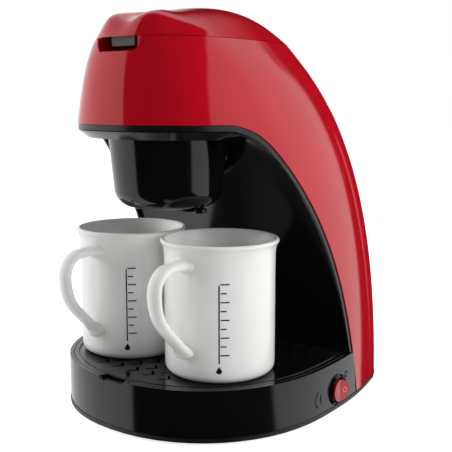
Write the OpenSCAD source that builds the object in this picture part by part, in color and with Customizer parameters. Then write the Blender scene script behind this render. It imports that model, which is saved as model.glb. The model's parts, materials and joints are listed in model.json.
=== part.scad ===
// Two-cup drip coffee maker: a domed housing over an arched bay, with a lid,
// a hanging filter basket, a chevron drip grate, a round rocker switch and two mugs.
// +Z is up, the bay opens towards -Y, and the origin is the middle of the footprint.

/* [Housing] */
// Width of the base across its sides
body_w = 178.8; // [170:0.2:190]
// Depth of the base from front to back
body_d = 223.4; // [214:0.2:234]
// Height of the dome's crown above the underside of the base
dome_h = 246.7; // [240:0.1:256]
// Height of the rubber feet below the base
foot_h = 2; // [1.5:0.5:3]
// Thickness of the moulded red shells
wall = 2.4; // [2:0.1:3]
// Running gap between neighbouring housings
fit_gap = 0.3; // [0.2:0.05:0.5]
// Step between the side panels and the rounded back
crease_step = 0.9; // [0.6:0.1:1.4]

/* [Dome form] */
// Place of the widest station behind the front, as a share of the depth
waist_share = 0.4185; // [0.39:0.0005:0.44]
// Place of the crown behind the front, as a share of the depth
crown_share = 0.2229; // [0.2:0.0001:0.25]
// Squareness of the plan near the base
plan_n = 2.15; // [2.05:0.05:2.4]
// How late the sides start to lean in
side_fall = 1.67; // [1.5:0.01:2]
// How tightly the sides turn over at the crown
side_round = 2.85; // [2.5:0.05:3.2]
// How late the front starts to lean in
front_fall = 4.3; // [4:0.1:5]
// How tightly the front turns over at the lip
front_round = 4.87; // [4.5:0.01:5.2]
// How late the back starts to lean in
rear_fall = 2.78; // [2.5:0.01:3]
// How tightly the back turns over at the crown
rear_round = 2.69; // [2.5:0.01:2.9]
// Rise of the crown towards the back
crown_tilt = 0.15; // [0.1:0.01:0.18]

/* [Arch and head] */
// Height of the head's red front between the lid's seam and its lower edge
head_front = 49.5; // [46:0.5:53]
// Depth of the head's black underside below that edge
head_drop = 8.6; // [7:0.2:10]
// Inset of the underside behind the head's outline
head_chamfer = 7; // [5:0.5:9]
// Distance of the arch's foot behind the middle, as a share of the depth
arch_foot_share = 0.1383; // [0.12:0.0001:0.152]
// Lean of the arch's lower part, per unit of height
arch_lean = 0.2; // [0.16:0.01:0.24]
// Forward reach of the arch under the head, as a share of the depth
arch_reach_share = 0.2346; // [0.22:0.0001:0.246]
// Extra reach in the arch's top corner
arch_corner = 12; // [9:0.5:14]
// Width of the dark trim along the red edge
trim_w = 3.2; // [2.5:0.1:4]
// Depth of the shallow niche in the column
niche = 5; // [3:0.5:5.5]
// Thickness of the column's black liner
liner_t = 2.4; // [2:0.1:2.6]
// Height of the side panels' feet above the floor
panel_foot_z = 5; // [4.9:0.1:6]

/* [Lid] */
// Height of the lid from its seam to the crown
lid_h = 17.2; // [16:0.1:19]
// Gap along the lid's seam
seam_gap = 0.5; // [0.4:0.1:0.8]
// Depth of the thumb scoop in the front lip
scoop_d = 3; // [2:0.5:4]
// Half width of the thumb scoop
scoop_w = 13; // [10:1:16]
// Width of the finger slot below the lid
slot_w = 32; // [26:1:36]
// Height of the finger slot
slot_h = 8.4; // [7:0.2:9]
// Length of the hinge barrel
hinge_w = 36; // [30:1:42]
// Radius of the hinge barrel
knuckle_r = 3.6; // [3.2:0.1:4]
// Radius of the steel hinge pin
hinge_pin_r = 1.5; // [1.2:0.1:2]

/* [Base and drip tray] */
// Height of the tray surface above the floor
tray_z = 33; // [31:0.5:35]
// Thickness of the black base wall
base_wall = 2.6; // [2.2:0.1:3]
// Thickness of the bottom cover
cover_t = 2.6; // [2.2:0.1:2.8]
// Thickness of the drip grate
grate_t = 2.2; // [1.8:0.1:2.6]
// Depth of the drip pan under the grate
pan_depth = 6; // [5.6:0.1:6.4]
// Pitch of the chevron slots across the grate
chevron_pitch_x = 13; // [12:0.5:16]
// Pitch of the chevron rows from front to back
chevron_pitch_y = 9.5; // [9:0.5:12]
// Length of a chevron's arm
chevron_arm = 6.4; // [5:0.2:7]
// Width of a chevron slot
chevron_slot = 2.2; // [1.8:0.1:2.6]
// Radius of a rubber foot
foot_r = 7; // [6:0.5:8]
// Radius of a cover screw's head
screw_r = 3; // [2.6:0.1:3.4]

/* [Switch] */
// Distance of the switch's centre behind the middle of the base
switch_y = 0.6; // [-4:0.2:6]
// Height of the switch's centre above the floor
switch_z = 14.6; // [14:0.2:15.4]
// Outer radius of the bezel
bezel_r = 10; // [9.4:0.1:10]
// Radius of the rocker
rocker_r = 7.4; // [6.8:0.1:7.6]
// Tilt of the rocker's two faces
rocker_tilt = 7; // [5:0.5:9]

/* [Mugs] */
// Distance of each mug's axis from the middle
mug_x = 37; // [36.8:0.1:39]
// Distance of the mugs' axes in front of the middle, as a share of the depth
mug_share = 0.2404; // [0.232:0.0001:0.25]
// Room between a mug's rim and the basket above it
mug_room = 16.5; // [14:0.5:22]
// Outer radius of a mug's body
mug_r = 33.7; // [32:0.1:34]
// Outer radius of a mug's rolled rim
mug_rim_r = 36; // [35:0.1:36.2]
// Thickness of a mug's wall
mug_wall = 3.2; // [2.6:0.1:3.8]
// Reach of a mug's handle from the mug's axis
handle_reach = 60.8; // [57:0.2:62]
// Distance of the handle's upper arm below the rim
handle_drop = 12; // [10:0.5:15]
// Thickness of the handle
handle_t = 6; // [5:0.1:6.4]
// Width of the handle
handle_w = 9.6; // [8:0.1:11]

/* [Filter] */
// Distance of the basket's axis in front of the middle, as a share of the depth
basket_share = 0.2596; // [0.255:0.0001:0.265]
// Depth of the basket from the deck to its underside
basket_h = 79; // [77:0.5:80]
// Radius of the basket at the top of its tapered wall
basket_top_r = 40; // [39:0.2:41]
// Radius of the basket where its rounded bottom starts
basket_low_r = 33.6; // [32:0.2:35]
// Radius of the basket's rounded bottom edge
basket_round = 12; // [9:0.5:13]
// Thickness of the basket's wall
basket_wall = 1.8; // [1.6:0.1:2.2]
// Distance of each outlet from the middle
outlet_x = 25; // [22:0.5:26]
// Depth of the deck that carries the basket below the lid's seam
deck_drop = 21.5; // [20.5:0.5:24]

/* [Water system] */
// Radius of the heater's water tube
tube_r = 5.5; // [5:0.1:6]
// Radius of the heater's electric element
element_r = 4; // [3.6:0.1:4.2]
// Distance of the riser's foot behind the arch's foot
riser_back = 7.35; // [7:0.05:9]
// Outer radius of the silicone hoses
hose_r = 4.5; // [4:0.1:4.6]
// Thickness of the tank's wall
tank_wall = 2; // [1.8:0.1:2.4]

/* [Hidden] */
$fn = 64;

red = [0.74, 0.03, 0.09];
black = [0.05, 0.05, 0.055];
grey = [0.45, 0.46, 0.47];
steel = [0.72, 0.73, 0.75];
front_y0 = -body_d / 2;
waist_y = front_y0 + waist_share * body_d;
crown_y = front_y0 + crown_share * body_d;
seam_z = foot_h + dome_h - lid_h;
head_edge_z = seam_z - head_front;
deck_z = seam_z - deck_drop;
basket_z = deck_z - basket_h;
basket_y = basket_share * body_d;
mug_y = mug_share * body_d;
mug_h = basket_z - tray_z - mug_room;
arch_foot_y = arch_foot_share * body_d;
arch_reach = arch_reach_share * body_d;
mid_shift = 3.2;      // power that moves the widest station forward with height
plan_rise = 0.6;      // extra squareness of the plan at the crown
side_reach = 1.246;   // length of the side panel's curve, as a share of the rear half
crease_share = 0.589; // place of the crease along the rear half
arch_power = 3.3;
corner_power = 60;
eps = 0.01;

// ---- the dome: sections at height z, inset by t -------------------------------------

function dome_u(z, t) = min(max((z - foot_h) / (dome_h - t), 0), 1);
function half_w(z, t) =
    (body_w / 2 - t) * pow(max(0, 1 - pow(dome_u(z, t), side_fall)), 1 / side_round);
function front_y(z, t) = crown_y
    + (front_y0 + t - crown_y) * pow(max(0, 1 - pow(dome_u(z, t), front_fall)), 1 / front_round);
function rear_at(u, t) = crown_y
    + (body_d / 2 - t - crown_y) * pow(max(0, 1 - pow(u, rear_fall)), 1 / rear_round);
function rear_y(z, t) = rear_at(dome_u(z, t), t);
function mid_y(z, t) = waist_y + (crown_y - waist_y) * pow(dome_u(z, t), mid_shift);
function plan_power(z, t) = plan_n + plan_rise * pow(dome_u(z, t), 10);
function crease_y(z, t) =
    mid_y(z, t) + crease_share * (rear_at(dome_u(z, t), 0) - mid_y(z, t));

// Half width of the front and side panels at station y
function panel_x(y, z, t) =
    let (m = mid_y(z, t), n = plan_power(z, t),
         f = m - front_y(z, t), b = side_reach * (rear_y(z, t) - m),
         q = y < m ? (m - y) / max(f, eps) : (y - m) / max(b, eps))
    half_w(z, t) * pow(max(0, 1 - pow(min(q, 1), n)), 1 / n);

// Point of a section: s is 0 at the front, 1 at the widest station, 2 at the crease, 3 at the back
function ring_xy(s, z, t) =
    let (m = mid_y(z, t), n = plan_power(z, t), cy = crease_y(z, t),
         cx = panel_x(cy, z, t), a = 90 * min(s, 1))
    s <= 1 ? [half_w(z, t) * pow(sin(a), 2 / n), m + (front_y(z, t) - m) * pow(cos(a), 2 / n)]
    : s <= 2 ? let (y = m + (cy - m) * (s - 1)) [panel_x(y, z, t), y]
    : let (r = 90 * (s - 2))
        [(cx - crease_step) * cos(r), cy + (rear_y(z, t) - cy) * sin(r)];

function lift(y, z, t) = z + crown_tilt * pow(dome_u(z, t), 14) * (y - crown_y);
function scoop(x, y, z, t) =
    let (across = max(0, 1 - pow(x / scoop_w, 2)),
         along = max(0, 1 - (y - front_y(seam_z, t)) / (scoop_w * 2.2)))
    y > crown_y || z < seam_z ? z
    : z - scoop_d * across * across * (3 - 2 * along) * along * along
        * min(1, (z - seam_z) / 6);

function dome_pt(s, z, t) =
    let (side = s < 0 ? -1 : 1, p = ring_xy(abs(s), z, t), zl = lift(p[1], z, t))
    [side * p[0], p[1], scoop(p[0], p[1], zl, t)];

// Section height whose lifted edge lies on the plane at height h
function flat_z(s, h, t, z = seam_z, i = 5) =
    i == 0 ? z : flat_z(s, h, t, h - (lift(ring_xy(abs(s), z, t)[1], z, t) - z), i - 1);

// ---- the arch: edge of the red shell at the side of the bay --------------------------

head_h = head_edge_z - foot_h;
function arch_y(z) =
    let (q = min((z - foot_h) / head_h, 1))
    arch_foot_y - arch_lean * (z - foot_h) - arch_reach * pow(max(q, 0), arch_power)
        - arch_corner * pow(max(q, 0), corner_power);
// Place along a section of the front or side panel at station y
function s_at(y, z) =
    let (m = mid_y(z, 0))
    y < m ? acos(min(1, pow((m - y) / (m - front_y(z, 0)), plan_power(z, 0) / 2))) / 90
    : 1 + (y - m) / (crease_y(z, 0) - m);
arch_rows = 20;
function arch_z(i) =
    panel_foot_z + (head_edge_z - panel_foot_z) * (1 - pow(1 - i / arch_rows, 1.8));

// ---- meshes from grids of points -------------------------------------------------------

function quad(a, b, c, d) = [[a, b, c], [a, c, d]];
function flat(l) = [for (a = l) for (b = a) b];

// A curved sheet with an outer and an inner grid of the same size, closed along its four rims
module sheet(outer, inner) {
    rows = len(outer);
    cols = len(outer[0]);
    in0 = rows * cols;
    faces = flat(concat(
        [for (r = [0:rows - 2], c = [0:cols - 2]) let (k = r * cols + c)
            quad(k, k + cols, k + cols + 1, k + 1)],
        [for (r = [0:rows - 2], c = [0:cols - 2]) let (k = in0 + r * cols + c)
            quad(k, k + 1, k + cols + 1, k + cols)],
        [for (c = [0:cols - 2]) quad(c, c + 1, in0 + c + 1, in0 + c)],
        [for (c = [0:cols - 2]) let (k = (rows - 1) * cols + c)
            quad(k + 1, k, in0 + k, in0 + k + 1)],
        [for (r = [0:rows - 2]) let (k = r * cols)
            quad(k + cols, k, in0 + k, in0 + k + cols)],
        [for (r = [0:rows - 2]) let (k = r * cols + cols - 1)
            quad(k, k + cols, in0 + k + cols, in0 + k)]));
    polyhedron(points = concat(flat(outer), flat(inner)), faces = faces);
}

// A dome of closed rings with an outer and an inner apex
module cap(outer, inner, top_out, top_in) {
    rows = len(outer);
    cols = len(outer[0]);
    in0 = rows * cols;
    tip = 2 * in0;
    last = (rows - 1) * cols;
    faces = flat(concat(
        [for (r = [0:rows - 2], c = [0:cols - 1])
            let (k = r * cols + c, n = r * cols + (c + 1) % cols)
            quad(k, k + cols, n + cols, n)],
        [for (r = [0:rows - 2], c = [0:cols - 1])
            let (k = in0 + r * cols + c, n = in0 + r * cols + (c + 1) % cols)
            quad(k, n, n + cols, k + cols)],
        [for (c = [0:cols - 1]) let (n = (c + 1) % cols) quad(c, n, in0 + n, in0 + c)],
        [[for (c = [0:cols - 1]) let (n = (c + 1) % cols) [last + c, tip, last + n]]],
        [[for (c = [0:cols - 1]) let (n = (c + 1) % cols)
            [in0 + last + n, tip + 1, in0 + last + c]]]));
    polyhedron(points = concat(flat(outer), flat(inner), [top_out, top_in]), faces = faces);
}

// A solid through closed rings of equal length, with flat ends
module tube(rings) {
    n = len(rings[0]);
    last = (len(rings) - 1) * n;
    faces = concat(
        flat([for (r = [0:len(rings) - 2], c = [0:n - 1])
            let (k = r * n + c, m = r * n + (c + 1) % n) quad(k, m, m + n, k + n)]),
        [[for (c = [n - 1:-1:0]) c], [for (c = [0:n - 1]) last + c]]);
    polyhedron(points = flat(rings), faces = faces);
}

front_cols = 12; // columns from the front to the widest station
side_cols = 12;  // columns from there to the crease
back_cols = 8;   // columns from the crease to the back
quarter = concat([for (i = [0:front_cols - 1]) i / front_cols],
    [for (i = [0:side_cols]) 1 + i / side_cols]);
panel_s = concat([for (i = [len(quarter) - 1:-1:1]) -quarter[i]], quarter);
// Columns of the body shell, each with the height of its lower end
arch_front_s = s_at(arch_y(head_edge_z), head_edge_z);
arch_foot_s = s_at(arch_y(panel_foot_z), panel_foot_z);
half_cols = concat([for (i = [0:9]) [arch_front_s * i / 10, head_edge_z]],
    [for (i = [arch_rows:-1:0]) [s_at(arch_y(arch_z(i)), arch_z(i)), arch_z(i)]],
    [for (i = [1:4]) [arch_foot_s + (2 - arch_foot_s) * i / 4, panel_foot_z]]);
shell_cols = concat([for (i = [len(half_cols) - 1:-1:1]) [-half_cols[i][0], half_cols[i][1]]],
    half_cols);
back_s = [for (i = [0:back_cols]) 2 + i / back_cols];

// ---- red shells ------------------------------------------------------------------------

shell_rows = 14;
function shell_grid(t) = [for (r = [0:shell_rows]) [for (c = shell_cols)
    let (hi = flat_z(c[0], seam_z - seam_gap / 2, t))
    dome_pt(c[0], c[1] + (hi - c[1]) * r / shell_rows, t)]];
function back_grid(t) = [for (r = [0:shell_rows]) [for (k = [0:2 * back_cols])
    let (s = k <= back_cols ? back_s[k] : -back_s[2 * back_cols - k],
         hi = flat_z(s, seam_z - seam_gap / 2, t), lo = panel_foot_z)
    dome_pt(s == 3 ? 3 : s + (k == 0 ? eps : k == 2 * back_cols ? -eps : 0),
        lo + (hi - lo) * r / shell_rows, t)]];

slot_top = seam_z - seam_gap / 2 + eps;
module finger_slot(grow = 0) {
    h = slot_h + grow;
    translate([0, front_y(seam_z, 0) - 12, slot_top])
        rotate([-90, 0, 0])
            linear_extrude(12 + 3 * wall + slot_h + 3)
                translate([-slot_w / 2 - grow, 0])
                    union() {
                        square([slot_w + 2 * grow, h / 2]);
                        translate([h / 2, 0]) square([slot_w + 2 * grow - h, h]);
                        for (x = [h / 2, slot_w + 2 * grow - h / 2])
                            translate([x, h / 2]) circle(h / 2);
                    }
}

module body_shell() {
    color(red)
        difference() {
            sheet(shell_grid(0), shell_grid(wall));
            finger_slot();
        }
}

hinge_y = rear_y(flat_z(3, seam_z, 0), 0) - 1.4;
module hinge_room() {
    w = hinge_w + 1.2;
    r = knuckle_r + 0.8;
    translate([0, hinge_y, seam_z]) rotate([0, 90, 0]) cylinder(r = r, h = w, center = true);
    translate([-w / 2, hinge_y - r, seam_z]) cube([w, 30, 30]);
}

gland_z = 18;
gland_r = 5;
module gland_room() {
    translate([0, body_d / 2 - 12, gland_z])
        rotate([-90, 0, 0]) cylinder(r = gland_r + 0.1, h = 20);
}

module back_shell() {
    color(red)
        difference() {
            sheet(back_grid(0), back_grid(wall));
            hinge_room();
            gland_room();
        }
}

// ---- lid -------------------------------------------------------------------------------

lid_rows = 11;
lid_s = concat(panel_s, [for (i = [0:back_cols - 1]) back_s[i] + (i == 0 ? eps : 0)],
    [for (i = [back_cols:-1:0]) -back_s[i] - (i == 0 ? eps : 0)]);
function crown_w(s, q, t) =
    let (u0 = dome_u(flat_z(s, seam_z + seam_gap / 2, t), t), u = 1 - (1 - u0) * pow(1 - q, 5))
    foot_h + (dome_h - t) * u;
function lid_grid(t) = [for (r = [0:lid_rows - 1]) [for (s = lid_s)
    dome_pt(abs(s) > 2.9999 ? 3 : s, crown_w(s, r / lid_rows, t), t)]];

module lid() {
    color(red)
        difference() {
            cap(lid_grid(0), lid_grid(wall),
                [0, crown_y, foot_h + dome_h], [0, crown_y, foot_h + dome_h - wall]);
            hinge_room();
        }
}

// Flat plate at height z that follows the dome at the plate's top, inset by t
module dome_plate(z, t, h) {
    function edge(s) = ring_xy(s, flat_z(s, z + h, t), t);
    half = concat([for (s = [0:1 / 10:2]) edge(s)], [for (s = [2.1:1 / 6:3]) edge(s)],
        [[0, edge(3)[1]]]);
    outline = concat(half, [for (i = [len(half) - 2:-1:1]) [-half[i][0], half[i][1]]]);
    translate([0, 0, z]) linear_extrude(h) polygon(outline);
}

liner_z = seam_z + 1;
module lid_liner() {
    color(black)
        difference() {
            dome_plate(liner_z, wall + 1.6, 1.8);
            translate([0, hinge_y, seam_z])
                cube([hinge_w + 4, 2 * knuckle_r + 5, 12], center = true);
        }
}

catch_y = front_y(seam_z + 4, wall) + 0.8;
module lid_catch() {
    w = slot_w - 12;
    color(grey) {
        translate([-w / 2, catch_y, seam_z - 6]) cube([w, 2, 7]);
        for (x = [-w / 2, w / 2 - 2])
            translate([x, catch_y + 2, seam_z - 4]) cube([2, 9, 5]);
    }
}

module lid_knuckle() {
    w = hinge_w / 3 - 0.4;
    color(red)
        difference() {
            union() {
                translate([0, hinge_y, seam_z])
                    rotate([0, 90, 0]) cylinder(r = knuckle_r, h = w, center = true);
                translate([-w / 2, hinge_y - knuckle_r - 6, seam_z - 0.9]) cube([w, 7, 1.4]);
            }
            translate([0, hinge_y, seam_z])
                rotate([0, 90, 0])
                    cylinder(r = hinge_pin_r + 0.06, h = w + 2, center = true);
        }
}

module hinge_bracket() {
    w = hinge_w / 3;
    drop = seam_z - deck_z - deck_t;
    color(black)
        difference() {
            for (side = [-1, 1])
                translate([side * w - w / 2, 0, 0])
                    union() {
                        translate([0, hinge_y, seam_z]) rotate([0, 90, 0]) cylinder(r = knuckle_r, h = w);
                        translate([side < 0 ? w / 3 : 0, hinge_y - knuckle_r - 1.4, seam_z - drop])
                            cube([2 * w / 3, 3, drop - 1.5]);
                    }
            translate([0, hinge_y, seam_z])
                rotate([0, 90, 0])
                    cylinder(r = hinge_pin_r + 0.02, h = 3 * w + 2, center = true);
        }
}

module hinge_pin() {
    color(steel)
        translate([0, hinge_y, seam_z])
            rotate([0, 90, 0]) cylinder(r = hinge_pin_r, h = hinge_w + 0.6, center = true);
}

// ---- black column, trim and underside of the head --------------------------------------

// The arch curve's forward normal in the side view
function arch_n(z) =
    let (dy = arch_y(z) - arch_y(z - 1), l = sqrt(dy * dy + 1)) [-1 / l, dy / l];
trim_foot = tray_z + fit_gap;
trim_z = concat([trim_foot], [for (i = [0:arch_rows]) if (arch_z(i) > trim_foot + 6) arch_z(i)]);
trim_rows = len(trim_z) - 1;
function side_edge(w) = [for (i = [0:trim_rows])
    let (z = trim_z[i], n = arch_n(z), y = arch_y(z) + n[0] * (w + fit_gap))
    [y, i == 0 ? trim_foot : z + n[1] * (w + fit_gap)]];
function trim_s() = [for (i = [0:8]) arch_front_s * i / 10];
function trim_line(w, t) =
    let (tail = [for (p = side_edge(w)) let (q = ring_xy(s_at(p[0], p[1]), p[1], t)) [q[0], q[1], p[1]]],
         z = head_edge_z - fit_gap - w,
         front = [for (s = trim_s()) let (p = ring_xy(s, z, t)) [p[0], p[1], z]],
         half = concat(front, [for (i = [trim_rows:-1:0]) tail[i]]))
    concat([for (i = [len(half) - 1:-1:1]) [-half[i][0], half[i][1], half[i][2]]], half);

module arch_trim() {
    color(grey * 0.5)
        sheet([trim_line(trim_w, 0.7), trim_line(0, 0.7)],
            [trim_line(trim_w, wall), trim_line(0, wall)]);
}

basket_gap = 1.2;
liner_top = head_edge_z - head_drop + 3;
liner_rows = 20;
liner_cols = 28;
function basket_r(z) = basket_low_r
    + (basket_top_r - basket_low_r) * (z - basket_z - basket_round) / (deck_z - basket_z - basket_round);
function socket_y(x, z) =
    let (r = basket_r(max(z, basket_z + basket_round)) + basket_gap)
    abs(x) >= r ? -1000 : -basket_y + sqrt(r * r - x * x);
function liner_pt(i, j, back) =
    let (z = tray_z + (liner_top - tray_z) * i / liner_rows,
         inner = wall + fit_gap,
         xs = panel_x(arch_y(z), z, inner), q = 2 * j / liner_cols - 1, x = xs * q,
         ramp = min(1, (z - tray_z) / 40),
         y = arch_y(z) + niche * ramp * (1 - pow(abs(q), 5)),
         wrap = socket_y(x, z))
    [x, max(y, wrap) + back, z];

module column_liner() {
    color(black)
        sheet([for (i = [0:liner_rows]) [for (j = [0:liner_cols]) liner_pt(i, j, 0)]],
            [for (i = [0:liner_rows]) [for (j = [0:liner_cols]) liner_pt(i, j, liner_t)]]);
}

head_floor = head_edge_z - head_drop;
module head_base() {
    top = head_edge_z - trim_w - 2 * fit_gap;
    under_trim = side_edge(trim_w + 2 * fit_gap);
    function rim_top(y) = max(head_floor + 0.5, min(top, lookup(y, under_trim)));
    function rim(s, z, t) = let (p = ring_xy(abs(s), z, t)) [(s < 0 ? -1 : 1) * p[0], p[1], z];
    function low_rim(t) = [for (s = panel_s) rim(s, head_floor, t)];
    function high_rim(t) = [for (s = panel_s) rim(s, rim_top(ring_xy(abs(s), top, t)[1]), t)];
    color(black)
        difference() {
            union() {
                difference() {
                    sheet([low_rim(head_chamfer + 0.7), high_rim(0.9)],
                        [low_rim(head_chamfer + 3.2), high_rim(3.3)]);
                    behind(lookup(-head_floor - 1, [for (p = under_trim) [-p[1], p[0]]]));
                }
                difference() {
                    dome_plate(head_floor, head_chamfer + 2, 2.2);
                    behind(arch_y(liner_top) - fit_gap);
                }
            }
            translate([0, -basket_y, head_floor - 5])
                cylinder(r = basket_r(head_floor) + basket_gap, h = 20);
        }
}

// ---- base ------------------------------------------------------------------------------

function base_outline(t) =
    let (half = concat([for (i = [0:14]) ring_xy(i / 14, foot_h + eps, t)],
            [for (i = [1:10]) ring_xy(1 + i / 10, foot_h + eps, t)],
            [for (i = [1:7]) ring_xy(2 + i / 8, foot_h + eps, t)], [[0, body_d / 2 - t]]))
    concat(half, [for (i = [len(half) - 2:-1:1]) [-half[i][0], half[i][1]]]);

cover_top = foot_h + cover_t;
pan_z = tray_z - grate_t - pan_depth;
shelf_t = 1.6;
tray_travel = 12;     // how far the tray's parts rise when they are lifted out
cross_y = arch_y(tray_z + tray_travel) - trim_w - 3 * fit_gap;
base_in = wall + crease_step + 2 * fit_gap; // inset of the base inside the red shells
module behind(y) {
    translate([-body_w, y, 0]) cube([2 * body_w, 2 * body_d, 2 * dome_h]);
}
module base_slab(t, z0, z1) {
    translate([0, 0, z0]) linear_extrude(z1 - z0) polygon(base_outline(t));
}
module ahead_of(y, z0, z1) {
    translate([-body_w, y - 2 * body_d, z0]) cube([2 * body_w, 2 * body_d, z1 - z0]);
}

module base_housing() {
    zc = cover_top + 0.1;
    front_edge = [for (i = [0:8]) let (z = zc + (tray_z - zc) * i / 8) [arch_y(z) - 0.4, z]];
    color(black)
        difference() {
            union() {
                base_slab(base_in, zc, tray_z);
                intersection() {
                    base_slab(0.5, zc, tray_z);
                    rotate([90, 0, 90])
                        translate([0, 0, -body_w])
                            linear_extrude(2 * body_w)
                                polygon(concat([[-body_d, zc]], front_edge, [[-body_d, tray_z]]));
                }
            }
            // tray pocket
            intersection() {
                base_slab(0.5 + base_wall, pan_z, tray_z + 1);
                ahead_of(cross_y, pan_z, tray_z + 1);
            }
            // cavity below the tray, and the heater room behind it
            base_slab(base_in + base_wall, zc - 1, pan_z - shelf_t);
            difference() {
                base_slab(base_in + base_wall, zc - 1, tray_z - shelf_t - 0.8);
                ahead_of(cross_y + 6, zc - 2, tray_z);
            }
            // finger notch at the front of the tray
            translate([0, front_y0, tray_z])
                rotate([-90, 0, 0]) linear_extrude(2 * base_wall + 5, center = true)
                    union() {
                        square([16, 4], center = true);
                        for (x = [-8, 8]) translate([x, 0]) circle(2);
                    }
            // switch hole, gland hole and hose holes
            translate([body_w / 2 - 24, switch_y, switch_z])
                rotate([0, 90, 0]) cylinder(r = switch_r + 0.15, h = 40);
            gland_room();
            translate([0, riser_y(tray_z - shelf_t), tray_z - 8]) cylinder(r = hose_r + 1.2, h = 12);
            translate([inlet_x, inlet_y, tray_z - 8]) cylinder(r = spigot_r + 0.4, h = 12);
        }
}

module bottom_cover() {
    color(black)
        difference() {
            base_slab(0.2, foot_h, cover_top);
            for (p = foot_places) translate([p[0], p[1], foot_h - 1]) cylinder(r = foot_r + 0.1, h = 2);
            for (p = screw_places) {
                translate([p[0], p[1], foot_h - 1]) cylinder(r = 1.7, h = 8);
                translate([p[0], p[1], foot_h - 1]) cylinder(r = screw_r + 0.2, h = 2.4);
            }
            for (i = [-3:3]) translate([i * 9 - 1.5, 46, foot_h - 1]) cube([3, 30, 8]);
        }
}

foot_places = [[-52, -62], [52, -62], [-46, 78], [46, 78]];
screw_places = [[-66, -40], [66, -40], [-62, 40], [62, 40]];
module rubber_feet() {
    color(black)
        for (p = foot_places) translate([p[0], p[1], 0]) cylinder(r = foot_r, h = foot_h + 1);
}

module cover_screws() {
    color(steel)
        for (p = screw_places) {
            translate([p[0], p[1], foot_h]) cylinder(r = screw_r, h = 1.4);
            translate([p[0], p[1], foot_h + 1.4 - eps]) cylinder(r = 1.5, h = 7);
        }
}

// ---- drip tray -------------------------------------------------------------------------

tray_inset = 0.5 + base_wall + fit_gap;
module tray_slab(t, z0, z1, rear) {
    intersection() {
        base_slab(t, z0, z1);
        ahead_of(rear, z0, z1);
    }
}

module drip_pan() {
    color(black)
        difference() {
            tray_slab(tray_inset, pan_z, tray_z - grate_t, cross_y - fit_gap);
            tray_slab(tray_inset + 1.6, pan_z + 1.2, tray_z, cross_y - fit_gap - 1.6);
        }
}

// Chevron slots: rows from front to back, each row's marks pointing to the right
function chevron(cx, cy) =
    let (a = chevron_arm * sqrt(0.5), w = chevron_slot)
    [[cx - a / 2, cy + a], [cx + a / 2, cy], [cx - a / 2, cy - a],
        [cx - a / 2 - w, cy - a], [cx + a / 2 - w, cy], [cx - a / 2 - w, cy + a]];
function chevron_fits(cx, cy) =
    let (m = chevron_arm + 3, x = abs(cx) + m, q = panel_x(cy - m, foot_h + eps, tray_inset + 2))
    x < q && x < panel_x(cy + m, foot_h + eps, tray_inset + 2)
        && cy + m < cross_y && cy - m > front_y0 + tray_inset + 2;
chevron_rows = floor((cross_y - front_y0) / chevron_pitch_y);
chevron_cols = floor(body_w / 2 / chevron_pitch_x);
chevron_marks = [for (r = [0:chevron_rows], c = [-chevron_cols:chevron_cols])
    let (cx = (c + (r % 2) / 2) * chevron_pitch_x, cy = cross_y - 12 - r * chevron_pitch_y)
    if (chevron_fits(cx, cy)) chevron(cx, cy)];

module drip_grate() {
    color(black)
        difference() {
            tray_slab(tray_inset, tray_z - grate_t, tray_z, cross_y - fit_gap);
            translate([0, 0, tray_z - grate_t - 1])
                linear_extrude(grate_t + 2)
                    polygon(points = flat(chevron_marks),
                        paths = [for (i = [0:len(chevron_marks) - 1]) [for (j = [0:5]) 6 * i + j]]);
            // groove around the rim and a lifting notch at the front
            difference() {
                tray_slab(tray_inset + 3, tray_z - 0.7, tray_z + 1, cross_y - fit_gap - 3);
                tray_slab(tray_inset + 4, tray_z - 2, tray_z + 2, cross_y - fit_gap - 4);
            }
            translate([0, front_y0, tray_z]) cube([18, 2 * tray_inset + 6, 12], center = true);
        }
}

// ---- switch ----------------------------------------------------------------------------

switch_r = rocker_r + 1.3;
switch_x = panel_x(switch_y, foot_h + eps, 0.5);
switch_depth = 19;
module on_switch_axis(x) {
    translate([x, switch_y, switch_z]) rotate([0, 90, 0]) children();
}

module switch_bezel() {
    color(black)
        difference() {
            on_switch_axis(switch_x - 0.5)
                rotate_extrude()
                    polygon([[rocker_r + 0.6, 0], [bezel_r, 0], [bezel_r, 1.2],
                        [bezel_r - 1.2, 2.6], [rocker_r + 1.2, 2.6], [rocker_r + 0.6, 1.8]]);
            intersection() {
                base_slab(0.5 - 0.05, 0, tray_z);
                translate([switch_x - 8, -40, 0]) cube([9, 80, tray_z]);
            }
        }
}

module switch_body() {
    color(black)
        difference() {
            union() {
                on_switch_axis(switch_x - switch_depth) cylinder(r = switch_r, h = switch_depth - 0.6);
            }
            on_switch_axis(switch_x - 9.4) cylinder(r = rocker_r + 0.5, h = 12);
        }
}

module switch_terminals() {
    color(steel)
        for (y = [-5, 0, 5])
            translate([switch_x - switch_depth - 7, switch_y + y - 0.4, switch_z - 2.4])
                cube([7, 0.8, 4.8]);
}

rocker_pivot_x = switch_x - 3.5;
module rocker() {
    back = 3.2;
    front = 5.2;
    dish = 10; // angle of each face to the rocker's middle plane
    color(red)
        translate([rocker_pivot_x, switch_y, switch_z])
            rotate([0, 0, -rocker_tilt])
                union() {
                    difference() {
                        translate([-back, 0, 0])
                            rotate([0, 90, 0]) cylinder(r = rocker_r - 0.35, h = front + back);
                        for (side = [-1, 1]) {
                            translate([front - 1.6, 0, 0])
                                rotate([0, 0, side * dish])
                                    translate([0, side > 0 ? -20 : 0, -10]) cube([10, 20, 20]);
                            translate([-back, side * rocker_r, 0])
                                rotate([0, 0, side * 18]) cube([4, 4, 20], center = true);
                        }
                    }
                    cylinder(r = 1.2, h = 2 * rocker_r, center = true);
                }
}

// ---- cord gland ------------------------------------------------------------------------

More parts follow.
